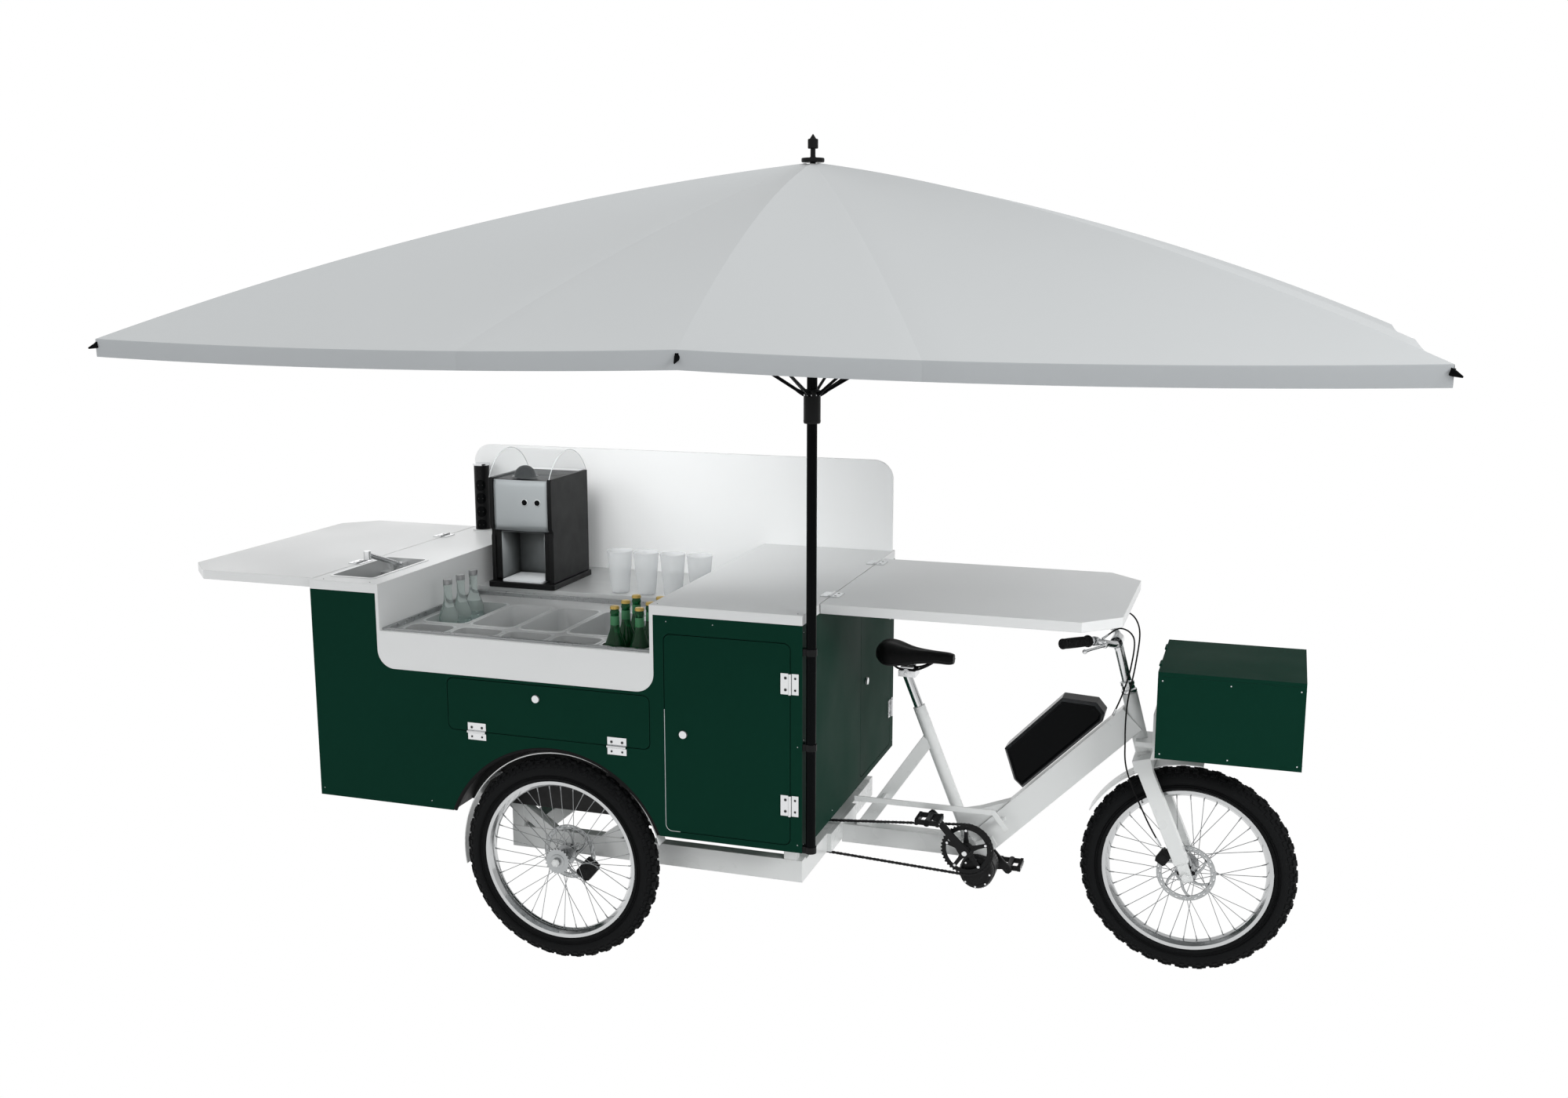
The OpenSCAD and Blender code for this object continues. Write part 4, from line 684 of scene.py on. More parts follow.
# top of the seat post
top = (1861.1, 883.4)
b.lathe([(0, -26), (13, -26), (14.5, -20), (14.5, 20), (13, 26), (0, 26)], at(top[0] + 4, 0, top[1] + 6, "+y"), n=28)
for s in (-1, 1):
    b.block((top[0] - 18, s * 20 - 8, top[1] + 9), (top[0] + 32, s * 20 + 8, top[1] + 14))
    b.block((top[0] - 14, s * 20 - 7, top[1] + 21), (top[0] + 28, s * 20 + 7, top[1] + 26))
    b.lathe([(0, -4), (5.5, -4), (5.5, 3), (4, 4), (0, 4)], at(top[0] + 4, s * 30, top[1] + 6, "+y"), n=6)
b.make("saddle_clamp", [CHROME], "seat", slot="bright_metal", bevel=0.001)

# brake cables
CABLE_FRAME = [(2500, -160, 1084), (2546, -112, 1108), (2584, -70, 1070), (2578, -52, 980), (2556, -42, 890),
               (2526, -18, 808)]
CABLE_FORK = [(2500, 160, 1084), (2556, 84, 1112), (2596, -24, 1086), (2592, -60, 990), (2572, -64, 860),
              (2570, -62, 740), (2580, -54, 640), (2640, -49, 500), (2690, -48, 410)]
for name, route in (("cable_rear_brake", CABLE_FRAME), ("cable_front_brake", CABLE_FORK)):
    b = Build()
    pts = smooth_path([C(*p) for p in route], 10)
    b.tube(pts, 0.0025, n=10)
    for end in ([pts[0], pts[3]], [pts[-1], pts[-4]]):
        b.tube(end, [0.0037, 0.0031], n=10, mat=1)
    rear = name == "cable_rear_brake"
    o = b.make(name, [RUBBER, CHROME], "steering", ["brake_cables"], "black_rubber", ride=not rear)
    if rear:
        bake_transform(o)

# handlebar: quill, clamp and a bar bent in one piece
BAR = Vector((2528.1, 0, 1042.9))


def bar_pt(dx, dy, dz):
    return C(BAR.x + dx, BAR.y + dy, BAR.z + dz)


LEVER_PIN = (-20, 160, 23)
lean = radians(15)
axis = Vector((-sin(lean), 0, cos(lean)))
head = Vector((2620, 0, 700)) + axis * 187
b = Build()
b.lathe([(24, 2), (25, 4), (25, 10), (21, 14), (20, 24), (22, 26), (22, 36), (16, 40), (14.6, 44), (14.5, 150),
         (15.5, 158), (15.5, 164), (12, 169), (0, 169)], at(*head, axis), n=40)
b.lathe([(17.5, -28), (19, -26.5), (19, 26.5), (17.5, 28), (11.2, 28)], at(BAR.x, 0, BAR.z, "+y"), n=40)
b.tube([C(*(head + axis * 140)), C(*(head + axis * 150 + Vector((-4, 0, 0)))), bar_pt(6, 0, -10)],
       [0.0146, 0.0150, 0.0158], n=24)
for s in (-1, 1):
    b.lathe([(0, -5), (4.2, -5), (4.2, 5), (3, 6), (0, 6)], at(BAR.x - 17, s * 16, BAR.z - 6, "+x"), n=6)
HALF_BAR = [(-128, 285, 47), (-94, 228, 41), (-60, 172, 35), (-26, 108, 15), (-4, 62, 2), (0, 30, 0)]
bends = [bar_pt(x, -y, z) for x, y, z in HALF_BAR] + [bar_pt(0, 0, 0)] + [bar_pt(*p) for p in reversed(HALF_BAR)]
b.tube(smooth_path(bends, 8), 0.011, n=24)
for s in (-1, 1):
    near = bar_pt(-50, s * 158, 31)
    # clamp band of the lever and its pivot block
    direction = bar_pt(-60, s * 172, 35) - bar_pt(-26, s * 108, 15)
    b.lathe([(11.1, -9), (14, -9), (14.6, -7), (14.6, 7), (14, 9), (11.1, 9)],
            Matrix.Translation(near) @ facing(direction) @ MM, n=28)
    px, py, pz = BAR.x + LEVER_PIN[0], s * LEVER_PIN[1], BAR.z + LEVER_PIN[2]
    b.tube([near, C(px - 8, py, pz + 9), C(px, py, pz + 9)], [0.007, 0.0075, 0.0075], n=16)
    b.lathe([(0, -10), (4.4, -10), (4.4, -8.4), (2.9, -8.2), (2.9, 8), (6.5, 8.2), (6.5, 12), (5.5, 13), (0, 13)],
            at(px, py, pz), n=20)
b.make("handlebar_bent", [CHROME], "steering", ["handlebar"], "bright_metal")

b = Build()
for s in (-1, 1):
    a, e = bar_pt(-60, s * 172, 35), bar_pt(-128, s * 285, 47)
    m = Matrix.Translation(a) @ facing(e - a) @ MM
    l = (e - a).length * 1000
    prof = [(11.1, 0.1 * l), (18, 0.1 * l), (18.5, 0.12 * l), (18, 0.15 * l)]
    n_rib = 13
    for k in range(n_rib):
        z = l * (0.17 + 0.80 * k / n_rib)
        swell = 15.2 + 0.8 * sin(pi * k / n_rib)
        prof += [(swell, z), (swell, z + 4.2), (swell - 1.1, z + 4.8), (swell - 1.1, z + 7.2)]
    prof += [(16, l * 0.985), (16, l * 1.02), (13, l * 1.04), (0, l * 1.04)]
    b.lathe(prof, m, n=28)
b.make("grip_sleeves", [RUBBER], "steering", ["grips"], "black_rubber")

for side, s in SIDES:
    b = Build()
    px, py, pz = BAR.x + LEVER_PIN[0], s * LEVER_PIN[1], BAR.z + LEVER_PIN[2]
    b.lathe([(3.1, -7.5), (7.2, -7.5), (7.6, -6.5), (7.6, 4), (7.2, 5), (3.1, 5)], at(px, py, pz), n=24)
    bends = ((-1, 3, -2), (-12, 30, -1), (-26, 66, 1), (-39, 96, 2), (-46, 112, 2))
    path = smooth_path([C(px + x, py + s * y, pz + z) for x, y, z in bends], 6)
    b.tube(path, [0.0052 - 0.0014 * sin(pi * k / (len(path) - 1)) for k in range(len(path))], n=14)
    ball = [(7 * sin(pi * k / 10), -7 * cos(pi * k / 10)) for k in range(1, 10)]
    b.lathe([(0, -7)] + ball + [(0, 7)], at(BAR.x - 66, s * 272, BAR.z + 25), n=20)
    b.make("lever_blade_" + side, [CHROME], side + "_lever", ["brake_lever_" + side], "bright_metal", sharp=50)

# crankset: toothed ring, five-arm spider, tapered arms
BB = (2085, 331)
CRANK, CRANK_LEN, CRANK_Y, CHAIN_Y = radians(132), 160, 97, -70
# along the arm, half its width, and its inner and outer face
ARM = ((-14, 9, 90, 104), (-8, 15, 90, 104), (6, 16.5, 90, 104), (30, 13, 91.5, 103), (80, 10.5, 92, 102.5),
       (130, 10, 92, 102.5), (152, 13, 91.5, 103), (166, 12, 92, 102.5), (173, 6, 93, 102))


def crank_tip(s):
    x, z = polar(CRANK_LEN, CRANK)
    return BB[0] - s * x, BB[1] - s * z


b = Build()
m = at(BB[0], CHAIN_Y, BB[1], "-y")
outline, inner = toothed(42, 80.5, 84.5, 0.34, 0.12), toothed(42, 67, 67, 0.34, 0.12)
n = len(outline)
faces = []
for k in range(n):
    j = (k + 1) % n
    faces += [(k, n + k, n + j, j), (2 * n + k, 2 * n + j, 3 * n + j, 3 * n + k), (k, j, 2 * n + j, 2 * n + k),
              (n + k, 3 * n + k, 3 * n + j, n + j)]
b.add([m @ Vector((x, y, h)) for h in (-1.6, 1.6) for x, y in outline + inner], faces)
for k in range(5):
    a = radians(72 * k + 20)
    b.prism(mirrored([(14, 11), (40, 6.5), (64, 6), (72, 9)]), m @ Matrix.Rotation(a, 4, "Z"), 0, 4.5)
    b.lathe([(0, 4.5), (4.6, 4.5), (4.6, 6), (3.8, 6.6), (0, 6.6)],
            m @ Matrix.Translation(polar(66, a, 0)), n=10, mat=1)
b.lathe([(10, -8), (17, -8), (24, -3), (24, 5), (18, 9), (12, 34)], m, n=36)
b.lathe([(9.8, 0), (9.8, 4), (9.8, 2 * CRANK_Y + 8)], at(BB[0], CRANK_Y + 2, BB[1], "-y"), n=24)
for s in (-1, 1):
    tip = crank_tip(s)
    d = Vector((tip[0] - BB[0], 0, tip[1] - BB[1])).normalized()
    w = Vector((-d.z, 0, d.x))
    rings = []
    for t, half, y0, y1 in ARM:
        o, mid = Vector((BB[0], 0, BB[1])) + d * t, (y0 + y1) / 2
        side = [(y0, half), (mid, half + 1.2), (y1, half)]
        rings.append([C(*(o + w * x + Vector((0, s * y, 0)))) for y, x in mirrored(side)])
    b.loft(rings, turned=s > 0)
    b.lathe([(0, 0), (8.5, 0), (8.5, 3.5), (7, 4.5), (0, 4.5)], at(BB[0], s * 103, BB[1], OUT[s]), n=18, mat=1)
    b.lathe([(5.8, 90), (5.8, 193)], at(tip[0], 0, tip[1], OUT[s]), n=18, mat=1)
b.make("crank_and_ring", [DARK, CHROME], "cranks", ["crankset"], "dark_metal", sharp=30)

# pedals: caged with teeth
for side, s in SIDES:
    b = Build()
    x0, z0 = crank_tip(s)
    b.lathe([(6.1, 105), (11, 105), (12, 108), (10.5, 114), (9.5, 148), (10.5, 184), (11.5, 188), (10, 191),
             (6.1, 191)], at(x0, 0, z0, OUT[s]), n=24)
    edge = [p for k in range(9) for p in ((111 + 8.6 * k, 9.0), (111 + 8.6 * k + 4.3, 11.2))]
    for d in (-1, 1):
        b.loft([[C(x0 + d * x, s * y, z0 + z) for y, z in mirrored(edge)] for x in (29, 39)])
        for k in range(4):
            b.lathe([(0, 0), (3, 0), (3, 2.4), (0, 2.6)], at(x0 + d * 38.6, s * (118 + 21 * k), z0, (d, 0, 0)), n=12,
                    mat=1)
    for y in (110, 178):
        y0, y1 = sorted((s * y, s * (y + 8)))
        b.block((x0 - 34, y0, z0 - 8), (x0 + 34, y1, z0 + 8))
    b.make("pedal_cage_" + side, [PLASTIC, CHROME], side + "_pedal", ["pedal_" + side], "black_plastic", bevel=0.0008)

# chain of links round the ring and the jackshaft sprocket
JACK = (1400, 318)
R_BIG, R_SMALL, PITCH = 85.0, 40.5, 12.7
dx, dz = BB[0] - JACK[0], BB[1] - JACK[1]
base, tilt = atan2(dz, dx), asin((R_BIG - R_SMALL) / hypot(dx, dz))
top_a, low_a = base + pi / 2 + tilt, base - pi / 2 - tilt
loop = []
for centre, r, start, turn, steps in ((BB, R_BIG, top_a, low_a - top_a, 24),
                                      (JACK, R_SMALL, low_a, top_a - low_a - tau, 16)):
    for k in range(steps + 1):
        x, z = polar(r, start + turn * k / steps)
        loop.append((centre[0] + x, centre[1] + z))
loop.append(loop[0])
length = sum(dist(p, q) for p, q in zip(loop, loop[1:]))
count = 2 * round(length / PITCH / 2)


def along(s):
    for p, q in zip(loop, loop[1:]):
        d = dist(p, q)
        if s <= d:
            return Vector(p).lerp(Vector(q), s / d)
        s -= d
    return Vector(loop[-1])


pins = [along(length * k / count) for k in range(count)]
b = Build()
for k, p in enumerate(pins):
    d = pins[(k + 1) % count] - p
    l = d.length
    d = d.normalized()
    w = Vector((-d.y, d.x))
    half = [(-3.2, -2.2), (0, -3.8), (l / 2, -2.6), (l, -3.8), (l + 3.2, -2.2)]
    shape = [p + d * x + w * y for x, y in mirrored(half)]
    for s in (-1, 1):
        h = -CHAIN_Y - s * (3.6 if k % 2 else 2.5)
        b.prism(shape, at(0, 0, 0, "-y"), h - 0.45, h + 0.45)
    b.lathe([(0, -4), (1.9, -4), (3.2, -2.2), (3.2, 2.2), (1.9, 4), (0, 4)], at(p.x, CHAIN_Y, p.y, "-y"), n=8)
b.make("chain_links", [DARK], "cart", ["drive_chain"], "dark_metal", sharp=30)

# brake callipers: two-piece bodies with bolts
CALIPER = [(-26, -15), (-20, -20), (20, -20), (26, -15), (26, 6), (18, 17), (-18, 17), (-26, 6)]
for name, x, angle, y, w, body, node, big in (
        ("front", FRONT_AXLE_X, 147, -44, 18, "steering", "front_caliper", 1.0),
        ("right", AXLE_X, -40, -479, 26, "cart", "rear_calipers", 1.4),
        ("left", AXLE_X, -40, 479, 26, "cart", "rear_calipers", 1.4)):
    a = radians(angle)
    d = Vector((cos(a), 0, sin(a)))
    t = Vector((-d.z, 0, d.x))
    mid = Vector((x, y, AXLE_Z)) + d * 84
    half = w / 2
    b = Build()
    for s in (-1, 1):
        b.loft([[C(*(mid + (t * u + d * v) * big * k + Vector((0, s * h, 0)))) for u, v in CALIPER]
                for h, k in ((2.2, 1.0), (half - 2.5, 1.0), (half, 0.82))])
        b.lathe([(0, 0), (10.5, 0), (10.5, 1.6), (9, 2.4), (0, 2.4)],
                at(mid.x, mid.y + s * (half - 1), mid.z, (0, s, 0)), n=20, mat=1)
    b.block((mid.x - 6, y - half + 2, mid.z - 6), (mid.x + 6, y + half - 2, mid.z + 6))
    for u in (-21, 21):
        bolt = at(*(mid + (t * u + d * 11) * big), "+y")
        b.lathe([(0, -half - 2), (4, -half - 2), (4, half + 2), (0, half + 2)], bolt, n=6, mat=1)
    b.make("caliper_body_" + name, [PLASTIC, DARK], body, [node], "black_plastic", bevel=0.001)

# battery: black case in a raised grey rim
CASE = [(2193, 672), (2369, 854), (2476, 848), (2503, 816), (2497, 790), (2254, 547), (2226, 572)]


def inset(poly, by):
    """Outline moved inwards, for one that runs clockwise."""
    out = []
    n = len(poly)
    for k in range(n):
        p, q, r = Vector(poly[k - 1]), Vector(poly[k]), Vector(poly[(k + 1) % n])
        e, f = (q - p).normalized(), (r - q).normalized()
        n1, n2 = Vector((e.y, -e.x)), Vector((f.y, -f.x))
        bis = (n1 + n2).normalized()
        out.append(q + bis * by / max(0.35, bis.dot(n1)))
    return out


b = Build()
layers = [(16, -41), (13, -44.5), (8, -45), (0, -33), (0, 33), (8, 45), (13, 44.5), (16, 41)]
b.loft([[C(x, y, z) for x, z in inset(CASE, by)] for by, y in layers])
# the two sloping bands are the rim, after the two end faces
b.m = [0, 0] + [1 if r in (2, 4) else 0 for r in range(len(layers) - 1) for _ in CASE]
b.make("battery_case", [GLOSS, BATTERY_RIM], "cart", ["battery"], "black_plastic", bevel=0.002)

# motor: ribbed drum under the crank with a bolted cover
b = Build()
m = at(2114, 0, 249, "-y")
b.lathe([(0, -62), (44, -62), (52, -59), (55, -52), (55, -20), (57, -18), (57, 18), (55, 20), (55, 48), (50, 57),
         (40, 60), (38, 58.5), (24, 58.5), (22, 60), (0, 60)], m, n=64)
for spot in circle(8, 46, -1):
    b.lathe([(0, 57), (3.4, 57), (3.4, 60.2), (0, 60.2)], m @ Matrix.Translation(spot), n=6, mat=1)
for x, y in circle(40, 55.4):
    for ends in ((-48, -24), (24, 46)):
        b.tube([m @ Vector((x, y, h)) for h in ends], 0.0011, n=5)
b.make("motor_drum", [PLASTIC, CHROME], "cart", ["drive_motor"], "black_plastic")

# finial: turned cap with collar, stem, block and spike, over the ring of the ribs
b = Build()
m = at(MAST_X, MAST_Y, CROWN_Z)
b.lathe([(12, -38), (25, -38), (26, -36), (26, -14), (24, -11), (8, -11)], m, n=40)
b.lathe([(8, -12), (8, 0), (30, 0), (32, 1.5), (32, 9.5), (30.5, 11.5), (12, 12.5), (8, 14), (7.2, 16), (7.0, 38)],
        m, n=40)
b.lathe([(6, 36.5), (13, 36.5), (14.4, 38), (14.4, 60.5), (13, 62.5), (9, 63), (8.6, 64), (1.0, 75.4), (0, 76)],
        m, n=40)
ring = [under(*p) for p in circle(48, RING_R, RING_Z)]
b.tube(ring + [ring[0]], 0.0018, n=8)
for i in range(8):
    a0, a1 = (atan2(p.y, p.x) for p in (rib_end(i), rib_end(i + 1)))
    a = a0 + (a1 - a0) % tau / 2
    b.tube([under(*polar(r, a, RING_Z)) for r in (20, RING_R)], 0.0025, n=8)
b.make("finial_turned", [PLASTIC], "mast", ["parasol_finial"], "black_plastic", bevel=0.001)

# dispenser
X0, X1, MID_X, FACE_HALF = 308, 552, 430, 105.5
BASE_Z, HEAD_Z, LID_Z, BUTTON_Z = 1070, 1252, 1444, 1360
DOME = (423, 150, LID_Z)


def face_y(x):
    """The bowed front's depth at x."""
    return 95 - 8.5 * (1 - ((x - MID_X) / FACE_HALF) ** 2)


b = Build()
cheek = [(388, BASE_Z), (388, LID_Z), (96, LID_Z), (90, 1436), (90, 1270), (94, 1262), (102, 1254), (102, 1240),
         (98, 1232), (98, BASE_Z)]
for x in (X0, X1 - 16):
    b.loft([[C(x + w, y, z) for y, z in cheek] for w in (0, 16)])
b.block((X0 + 9, 240, BASE_Z), (X1 - 9, 386, 1438))
b.block((X0 + 9, 100, HEAD_Z), (X1 - 9, 240, 1438))
b.block((X0 + 9, 104, 1078), (345, 240, HEAD_Z))
b.block((515, 104, 1078), (X1 - 9, 240, HEAD_Z))
b.prism([(300, 84), (306, 78), (554, 78), (560, 84), (560, 388), (300, 388)], at(0, 0, 0), 1050, BASE_Z)
b.make("dispenser_case", [PLASTIC], "cart", ["dispenser"], "black_plastic", bevel=0.0025)
b = Build()
rows, cols, verts = 8, 16, []
for r in range(rows + 1):
    lip = 5 * max(0.0, (abs(r / rows - 0.5) - 0.44) / 0.06)
    for c in range(cols + 1):
        x = MID_X + FACE_HALF * (2 * c / cols - 1)
        verts.append(C(x, face_y(x) + lip, 1256 + 182 * r / rows))
b.add(verts, strips(rows + 1, cols + 1, loop=False))
thicken(b.make("dispenser_front", [SILVER], "cart", ["dispenser"], "bright_metal", sharp=60), 0.004, -1)
# walls and roof of the bay
b = Build()
x0, x1, y0, y1, z0, z1 = 346, 514, 106, 239, 1078, 1250
for x, face in ((x0, (0, 1, 2, 3)), (x1, (3, 2, 1, 0))):
    b.add([C(x, y0, z0), C(x, y1, z0), C(x, y1, z1), C(x, y0, z1)], [face])
b.add([C(x0, y1, z0), C(x1, y1, z0), C(x1, y1, z1), C(x0, y1, z1)], [(0, 1, 2, 3)])
b.add([C(x0, y0, z1), C(x0, y1, z1), C(x1, y1, z1), C(x1, y0, z1)], [(0, 1, 2, 3)])
thicken(b.make("dispenser_bay_lining", [GREY], "cart", ["dispenser"], "black_plastic"), 0.0012)
# tray with its slats, and the spout above it
b = Build()
b.prism([(350, 96), (356, 90), (504, 90), (510, 96), (510, 234), (350, 234)], at(0, 0, 0), BASE_Z, 1078)
for k in range(9):
    b.block((362, 106 + 14 * k, 1078), (498, 111 + 14 * k, 1079.6))
b.lathe([(0, 1240), (9, 1240), (13, 1242), (20, 1245), (20, 1250)], at(MID_X, 168, 0), n=28, mat=1)
b.make("dispenser_tray", [PALE, PLASTIC], "cart", ["dispenser"], "bright_metal", bevel=0.0008)
b = Build()
dome = [(38 * cos(radians(a)), 38 * sin(radians(a)) * 0.95 + 4) for a in range(0, 90, 10)]
b.lathe([(40, 0), (40, 4)] + dome + [(0, 40.1)], at(*DOME), n=40)
b.lathe([(46, 0), (46, 1.6), (44, 2.4), (38, 2.4)], at(*DOME), n=40)
b.make("dispenser_dome", [GLOSS], "cart", ["dispenser"], "black_plastic")
for side, x in (("left", 450), ("right", 498)):
    b = Build()
    b.lathe([(0, 0), (9.8, 0), (9.8, 5.4), (8.6, 7), (4, 6.2), (0, 6)], at(x, face_y(x) + 3.2, BUTTON_Z, "-y"), n=32)
    b.make("button_cap_" + side, [GLOSS], side + "_button", ["button_" + side], "black_plastic")
    b = Build()
    b.lathe([(10.3, 0), (12, 0), (12, 2.2), (11.4, 2.8), (10.8, 2.8), (10.3, 2.2)],
            at(x, face_y(x) + 1.6, BUTTON_Z, "-y"), n=36)
    b.make("button_ring_" + side, [PALE], "cart", slot="bright_metal")

# painted highlight: light rims along the two arched cheeks of the hood, where the clear edges catch the light
HOOD_R, HOOD_START, HOOD_Y, HOOD_Z = 169.2, 28.2, 238, 1364.4
b = Build()
for x in (312.5, 547.5):
    arch = [polar(HOOD_R, radians(HOOD_START + (180 - 2 * HOOD_START) * k / 40)) for k in range(41)]
    b.tube([C(x, HOOD_Y + y, HOOD_Z + z) for y, z in arch], 0.0014, n=8)
b.make("hood_rim_highlights", [HOOD_EDGE_HIGHLIGHT], "hood", slot="clear_plastic")

# sockets of the power tower, drawn flat and then wrapped on it, so that it still passes through its flange
TOWER_X, TOWER_Y, TOWER_R = 70, 466, 29
b = Build()
a = radians(-75)
d = polar(1, a, 0)


def socket_at(z):
    return at(TOWER_X + 25 * d[0], TOWER_Y + 25 * d[1], z, d)


for k in range(4):
    m = socket_at(1204 + 51 * k)
    b.lathe([(21, 0), (21, 4.2), (19.5, 5.4), (17.5, 5.4), (17, 3.2), (13, 3.2), (9, 3.2), (5, 3.2), (0, 3.2)],
            m, n=32)
    # the pin holes are flat discs of painted shade
    for x in (-8, 8):
        b.lathe([(0, 3.2), (2.6, 3.2), (2.6, 3.5), (0, 3.5)], m @ Matrix.Translation((x, 0, 0)), n=10, mat=1)
for z in (1393, 1411):
    # each switch is a gloss block with a slot of painted shade on it
    for x, y, h0, h1, mat in ((8, 3.6, 0, 4.2, 0), (5.5, 1.6, 4.2, 4.5, 1)):
        b.prism([(-x, -y), (x, -y), (x, y), (-x, y)], socket_at(z), h0, h1, mat)
axis = C(TOWER_X, TOWER_Y, 0)
for k, (x, y, z) in enumerate(b.v):
    out = (x - axis.x) * d[0] + (y - axis.y) * d[1]
    turn = a + ((y - axis.y) * d[0] - (x - axis.x) * d[1]) / (TOWER_R / 1000)
    u, v = polar(0.0291 + 0.25 * (out - 0.0282), turn)
    b.v[k] = (axis.x + u, axis.y + v, z)
b.make("tower_sockets", [GLOSS, SHADE_BLACK], "tower", slot="black_plastic")
paint_where("power_tower", 1, lambda x, y, z: z > 1431.5)

# cups and bottles
CUP = [(0, 1051), (29.5, 1051), (31, 1053), (33, 1070), (44, 1190), (45, 1196), (46, 1198), (45.6, 1200),
       (44.4, 1198.5), (43.2, 1190), (32, 1070), (30, 1055), (0, 1055)]
cups = Build()
for x in (790, 890, 990, 1090):
    cups.lathe(CUP, at(x, 140, 0), n=48)
cups.make("frosted_cups", [FROST], "cart", ["counter_goods"], "clear_plastic", sharp=40)
BOTTLE = [(0, 3), (26, 0), (30, 0), (33, 4), (33, 118), (32.4, 128), (29, 143), (22, 162), (17, 176), (14.6, 188),
          (13.6, 205), (13.2, 230), (14.6, 232), (14.8, 238), (13.4, 240), (13.2, 247)]
BOTTLE_Z = 887
green, clear = Build(), Build()
for y in (-252, -167, -82):
    m = at(331.5, y, BOTTLE_Z)
    clear.lathe(BOTTLE, m, n=40)
    clear.lathe([(13.4, 238), (14.9, 239), (14.9, 254), (13.6, 256), (0, 256)], m, n=36, mat=1)
    clear.lathe([(33.3, 40), (33.4, 41), (33.4, 104), (33.3, 105)], m, n=40, mat=2)
for x in (1034.5, 1118.5):
    for y in (-445, -361, -277):
        m = at(x, y, BOTTLE_Z)
        green.lathe(BOTTLE, m, n=40)
        green.lathe([(14.2, 196), (14.5, 197), (13.9, 224), (13.5, 225)], m, n=36, mat=2)
        crimp = [polar(15.6 if k % 2 else 14.6, tau * k / 42, 247) for k in range(42)]
        crown = crimp + circle(42, 13.4, 255) + circle(42, 11, 256)
        green.add([m @ Vector(p) for p in crown], strips(3, 42) + [tuple(range(84, 126))], 1)
clear.make("clear_bottles", [PALE_GLASS, LOCK, WATER_BAND], "cart", ["counter_goods"], "bottle_glass", sharp=40)
green.make("green_bottles", [GREEN_GLASS, GOLD, BAND], "cart", ["counter_goods"], "bottle_glass", sharp=40)


# screws, hinge screws, locks and trim
HINGE_OUT, PAIR = 3.0, (-18, 18)


def screw(b, x, y, z, axis, r):
    b.lathe([(0, -0.6), (r, -0.6), (r, 0.5), (r * 0.8, 1.1), (r * 0.45, 1.3), (r * 0.4, 0.9), (0, 0.9)],
            at(x, y, z, axis), n=14)


def lock(b, x, y, z, axis):
    m = at(x, y, z, axis)
    b.lathe([(0, -1), (13, -1), (13, 2.2), (11.8, 3.4), (9.4, 3.8), (9, 3.0), (0, 3.0)], m, n=32)
    # the key slot opens downwards
    dx, dy = (1, 0) if axis == "+x" else (0, -1)
    # the key slot and the lock's core are flat marks in painted shade
    slot = [(-2.2, -2), (2.2, -2), (3.6, 8.2), (-3.6, 8.2)]
    b.prism([(u * dy + v * dx, v * dy - u * dx) for u, v in slot], m, 2.6, 3.6, 1)
    b.lathe([(0, 2.8), (4.2, 2.8), (4.2, 3.7), (0, 3.7)], m, n=16, mat=1)


def leaf_screws(b, spots, axis):
    """Countersunk screws in a hinge leaf: a bright rim round a recess drawn as a flat disc of painted shade."""
    for spot in spots:
        m = at(*spot, axis)
        b.lathe([(5.0, -0.2), (5.0, 0.35), (4.4, 0.6), (3.5, 0.25)], m, n=20)
        b.lathe([(3.6, 0.2), (3.4, 0.3), (0, 0.3)], m, n=20, mat=1)


def side_leaves(b, x):
    leaf_screws(b, [(x, -SIDE_Y - HINGE_OUT, z + d) for z in (596, 972) for d in PAIR], "-y")


def hatch_leaves(b, z):
    leaf_screws(b, [(x + d, -SIDE_Y - HINGE_OUT, z) for x in (596, 1082) for d in PAIR], "-y")


def front_leaves(b, y):
    leaf_screws(b, [(FRONT_X + HINGE_OUT, y, z + d) for z in (608, 972) for d in PAIR], "+x")


b = Build()
lock(b, 1302, -SIDE_Y, 784, "-y")
side_leaves(b, 1629)
b.make("side_door_lock", [LOCK, SHADE_BLACK], "side_door_leaf", slot="bright_metal")
# painted light: a pale line where light shows through the lower part of the side door's gap
b = Build()
corner = [polar(21.2, radians(a)) for a in range(190, 271, 10)]
edge = [(1240.8, z) for z in (858, 760, 660, 560, 492)] + [(1262 + x, 492 + z) for x, z in corner]
b.tube([C(x, -SIDE_Y + 0.8, z) for x, z in edge + [(1276, 470.8), (1288, 470.8)]], 0.001, n=6)
b.make("side_door_gap_light", [PALE], "side_door_leaf", slot="bright_metal")
b = Build()
lock(b, 807, -SIDE_Y, 851, "-y")
hatch_leaves(b, 738)
b.make("hatch_lock", [LOCK, SHADE_BLACK], "drop_hatch_leaf", slot="bright_metal")
b = Build()
lock(b, FRONT_X, 175, 794, "+x")
front_leaves(b, 492)
b.make("front_door_lock", [LOCK, SHADE_BLACK], "front_door_leaf", slot="bright_metal")
b = Build()
side_leaves(b, 1659.5)
hatch_leaves(b, 707.5)
front_leaves(b, 522.5)
b.make("hinge_screws_fixed", [CHROME, SHADE_BLACK], "cart", slot="bright_metal")
for name, x, spots in (("rear", -18, (-250, 300)), ("front", 1698, (-250, 290))):
    b = Build()
    leaf_screws(b, [(x, y + d, TOP_Z + HINGE_OUT) for y in spots for d in (-19, 19)], "z")
    b.make(name + "_flap_screws", [CHROME, SHADE_BLACK], name + "_flap_leaf", slot="bright_metal")

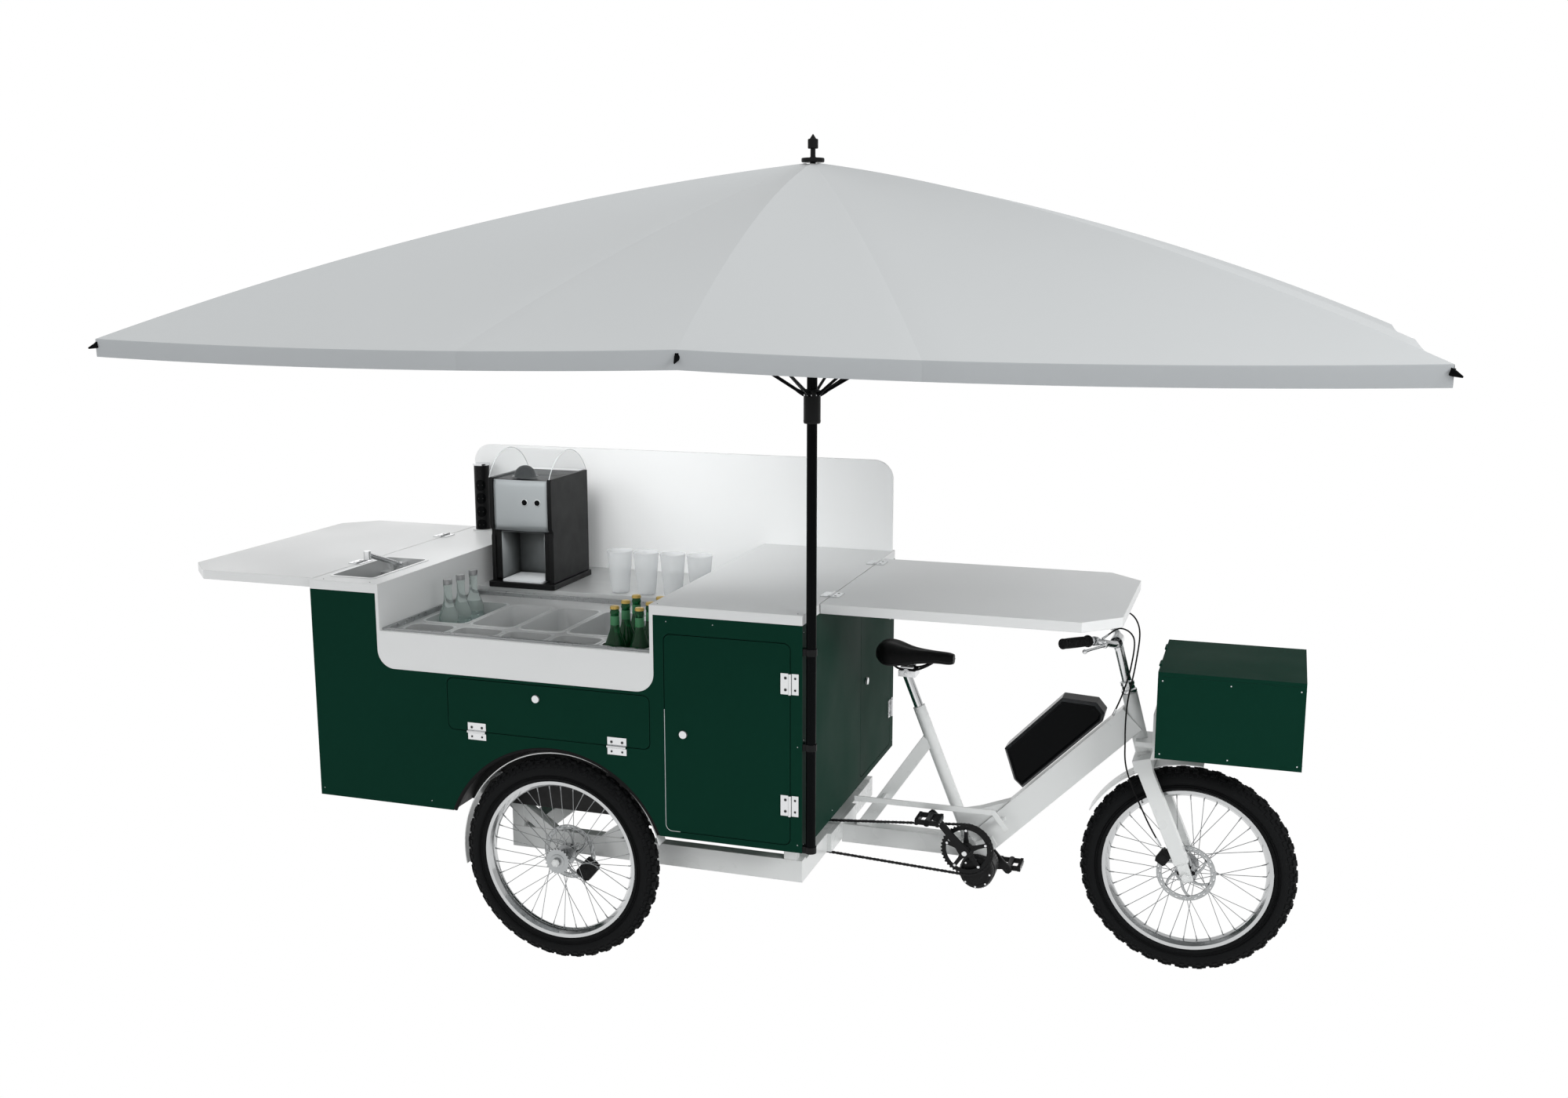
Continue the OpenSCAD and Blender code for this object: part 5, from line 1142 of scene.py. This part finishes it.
# small screws on the panels, the box and the counter
b = Build()
for x, z in ((14, 474), (1666, 474), (1666, 780), (1400, 1132), (1250, 1132), (420, 474)):
    for s in (-1, 1):
        screw(b, x, s * SIDE_Y, z, OUT[s], 1.5)
for y, z in ((-536, 474), (-536, 800), (-536, 1128), (536, 474), (536, 800), (536, 1128), (-230, 1128), (80, 1128),
             (-230, 474)):
    screw(b, FRONT_X, y, z, "+x", 1.5)
b.make("cabinet_screws", [PALE], "cart", slot="bright_metal")
b = Build()
BOX_ROWS = (758, 982)
for x in (2684, 2878, 3072):
    for z in BOX_ROWS:
        for s in (-1, 1):
            screw(b, x, s * 208, z, OUT[s], 2.2)
for y in (-194, 0, 194):
    for z in BOX_ROWS:
        screw(b, 3086, y, z, "+x", 2.2)
        screw(b, 2670, y, z, (-1, 0, 0), 2.2)
b.make("front_box_screws", [PALE], "cart", slot="bright_metal")
b = Build()
for pair in ((40, 214), (1215, 1660)):
    for y in (-530, 530):
        for x in pair:
            screw(b, x, y, TOP_Z, "z", 1.8)
b.make("counter_screws", [GREY], "cart", slot="bright_metal")

# rubber edging round the wheel arches
b = Build()
half = acos((452 - ARCH_Z) / (ARCH_R - 2))
bow = [polar(ARCH_R - 2, pi / 2 + half - 2 * half * k / 48) for k in range(49)]
for s in (-1, 1):
    b.tube([C(ARCH_X + x, s * 544, ARCH_Z + z) for x, z in bow], 0.0075, n=10)
b.make("arch_edging", [RUBBER], "cart", slot="black_rubber")

# folded steel rim round the deck of pans
b = Build()
verts = []
for inset_by, z in ((0, 1020.2), (0, 1033), (1.5, 1035), (10.5, 1035), (12, 1033), (12, 1020.2)):
    x0, y0, x1, y1 = 254.3 + inset_by, -534.7 + inset_by, 1194.7 - inset_by, 85.7 - inset_by
    verts += [C(x, y, z) for x, y in ((x0, y0), (x1, y0), (x1, y1), (x0, y1))]
b.add(verts, strips(6, 4))
b.make("deck_rim", [ALLOY], "cart", slot="steel")

# drain of the sink
DRAIN = (110, -308, 1059)
b = Build()
b.lathe([(0, 1.5), (14, 1.5), (17, 3), (19, 2), (20, 0)], at(*DRAIN), n=32)
b.lathe([(0, 1.6), (3, 1.6), (3, 2.2), (0, 2.4)], at(*DRAIN), n=12)
b.make("sink_drain", [CHROME], "cart", slot="steel")


# floor, white to the eye and pale to the light
def mix_shaders(new, link, share, first, second, surface):
    show = new("MixShader")
    for k, socket in enumerate((share, first.outputs[0], second.outputs[0])):
        link(socket, show.inputs[k])
    link(show.outputs[0], surface.inputs["Surface"])


FLOOR_R, FLOOR_Z, PURE_WHITE = 40, -0.002, (1, 1, 1, 1)
floor_mesh = bpy.data.meshes.new("floor")
floor_mesh.from_pydata([(x * FLOOR_R, y * FLOOR_R, FLOOR_Z) for x, y in ((-1, -1), (1, -1), (1, 1), (-1, 1))], [],
                       [(0, 1, 2, 3)])
floor = bpy.data.objects.new("floor", floor_mesh)
scene.collection.objects.link(floor)
floor_mat = bpy.data.materials.new("pale_floor")
floor_mat.use_nodes = True
shown = floor_mat.node_tree.nodes
new, link = tools(floor_mat.node_tree)
put(shown["Principled BSDF"], Base_Color=(0.86, 0.865, 0.87, 1), Roughness=0.9)
ray = new("LightPath")
seen = ray.outputs["Is Camera Ray"]
for kind in ("Is Transmission Ray", "Is Glossy Ray"):
    either = new("Math")
    either.operation = "ADD"
    either.use_clamp = True
    link(seen, either.inputs[0])
    link(ray.outputs[kind], either.inputs[1])
    seen = either.outputs[0]
mix_shaders(new, link, seen, shown["Principled BSDF"], new("Emission", Color=PURE_WHITE, Strength=1.0),
            shown["Material Output"])
floor_mesh.materials.append(floor_mat)

# white room: pure white to the camera, brighter overhead than at the horizon to the light
world = bpy.data.worlds.new("room")
scene.world = world
world.use_nodes = True
shown = world.node_tree.nodes
new, link = tools(world.node_tree)
split = new("SeparateXYZ")
up = new("MapRange", From_Min=0.0, From_Max=1.0, To_Min=0.58, To_Max=0.78)
link(new("TexCoord").outputs["Generated"], split.inputs[0])
link(split.outputs["Z"], up.inputs["Value"])
link(up.outputs["Result"], put(shown["Background"], Color=PURE_WHITE).inputs["Strength"])
mix_shaders(new, link, new("LightPath").outputs["Is Camera Ray"], shown["Background"],
            new("Background", Color=PURE_WHITE, Strength=1.0), shown["World Output"])


def area_light(name, place, target, size, power, spread=180):
    light = bpy.data.lights.new(name, "AREA")
    light.shape = "DISK"
    light.size = size
    light.energy = power
    light.spread = radians(spread)
    o = bpy.data.objects.new(name, light)
    scene.collection.objects.link(o)
    o.location = place
    o.rotation_euler = (Vector(target) - Vector(place)).to_track_quat("-Z", "Y").to_euler()
    o.visible_camera = False
    o.visible_glossy = name == "sheen"


area_light("key", (-4.5, -5.5, 4.2), (0, 0, 0.9), 3.0, 80)
area_light("fill", (6.2, -3.0, 4.1), (0.3, 0, 1.4), 2.6, 270)
area_light("sheen", (-4.6, 4.8, 2.3), (-1.4, 0.4, 1.2), 2.6, 12)
area_light("under_canopy", C(560, -330, 1950), C(520, 400, 1080), 0.5, 2.6, 120)
area_light("board", C(1150, -500, 1940), C(1100, 545, 1290), 0.55, 1.15, 90)

scene.view_settings.view_transform = "Standard"
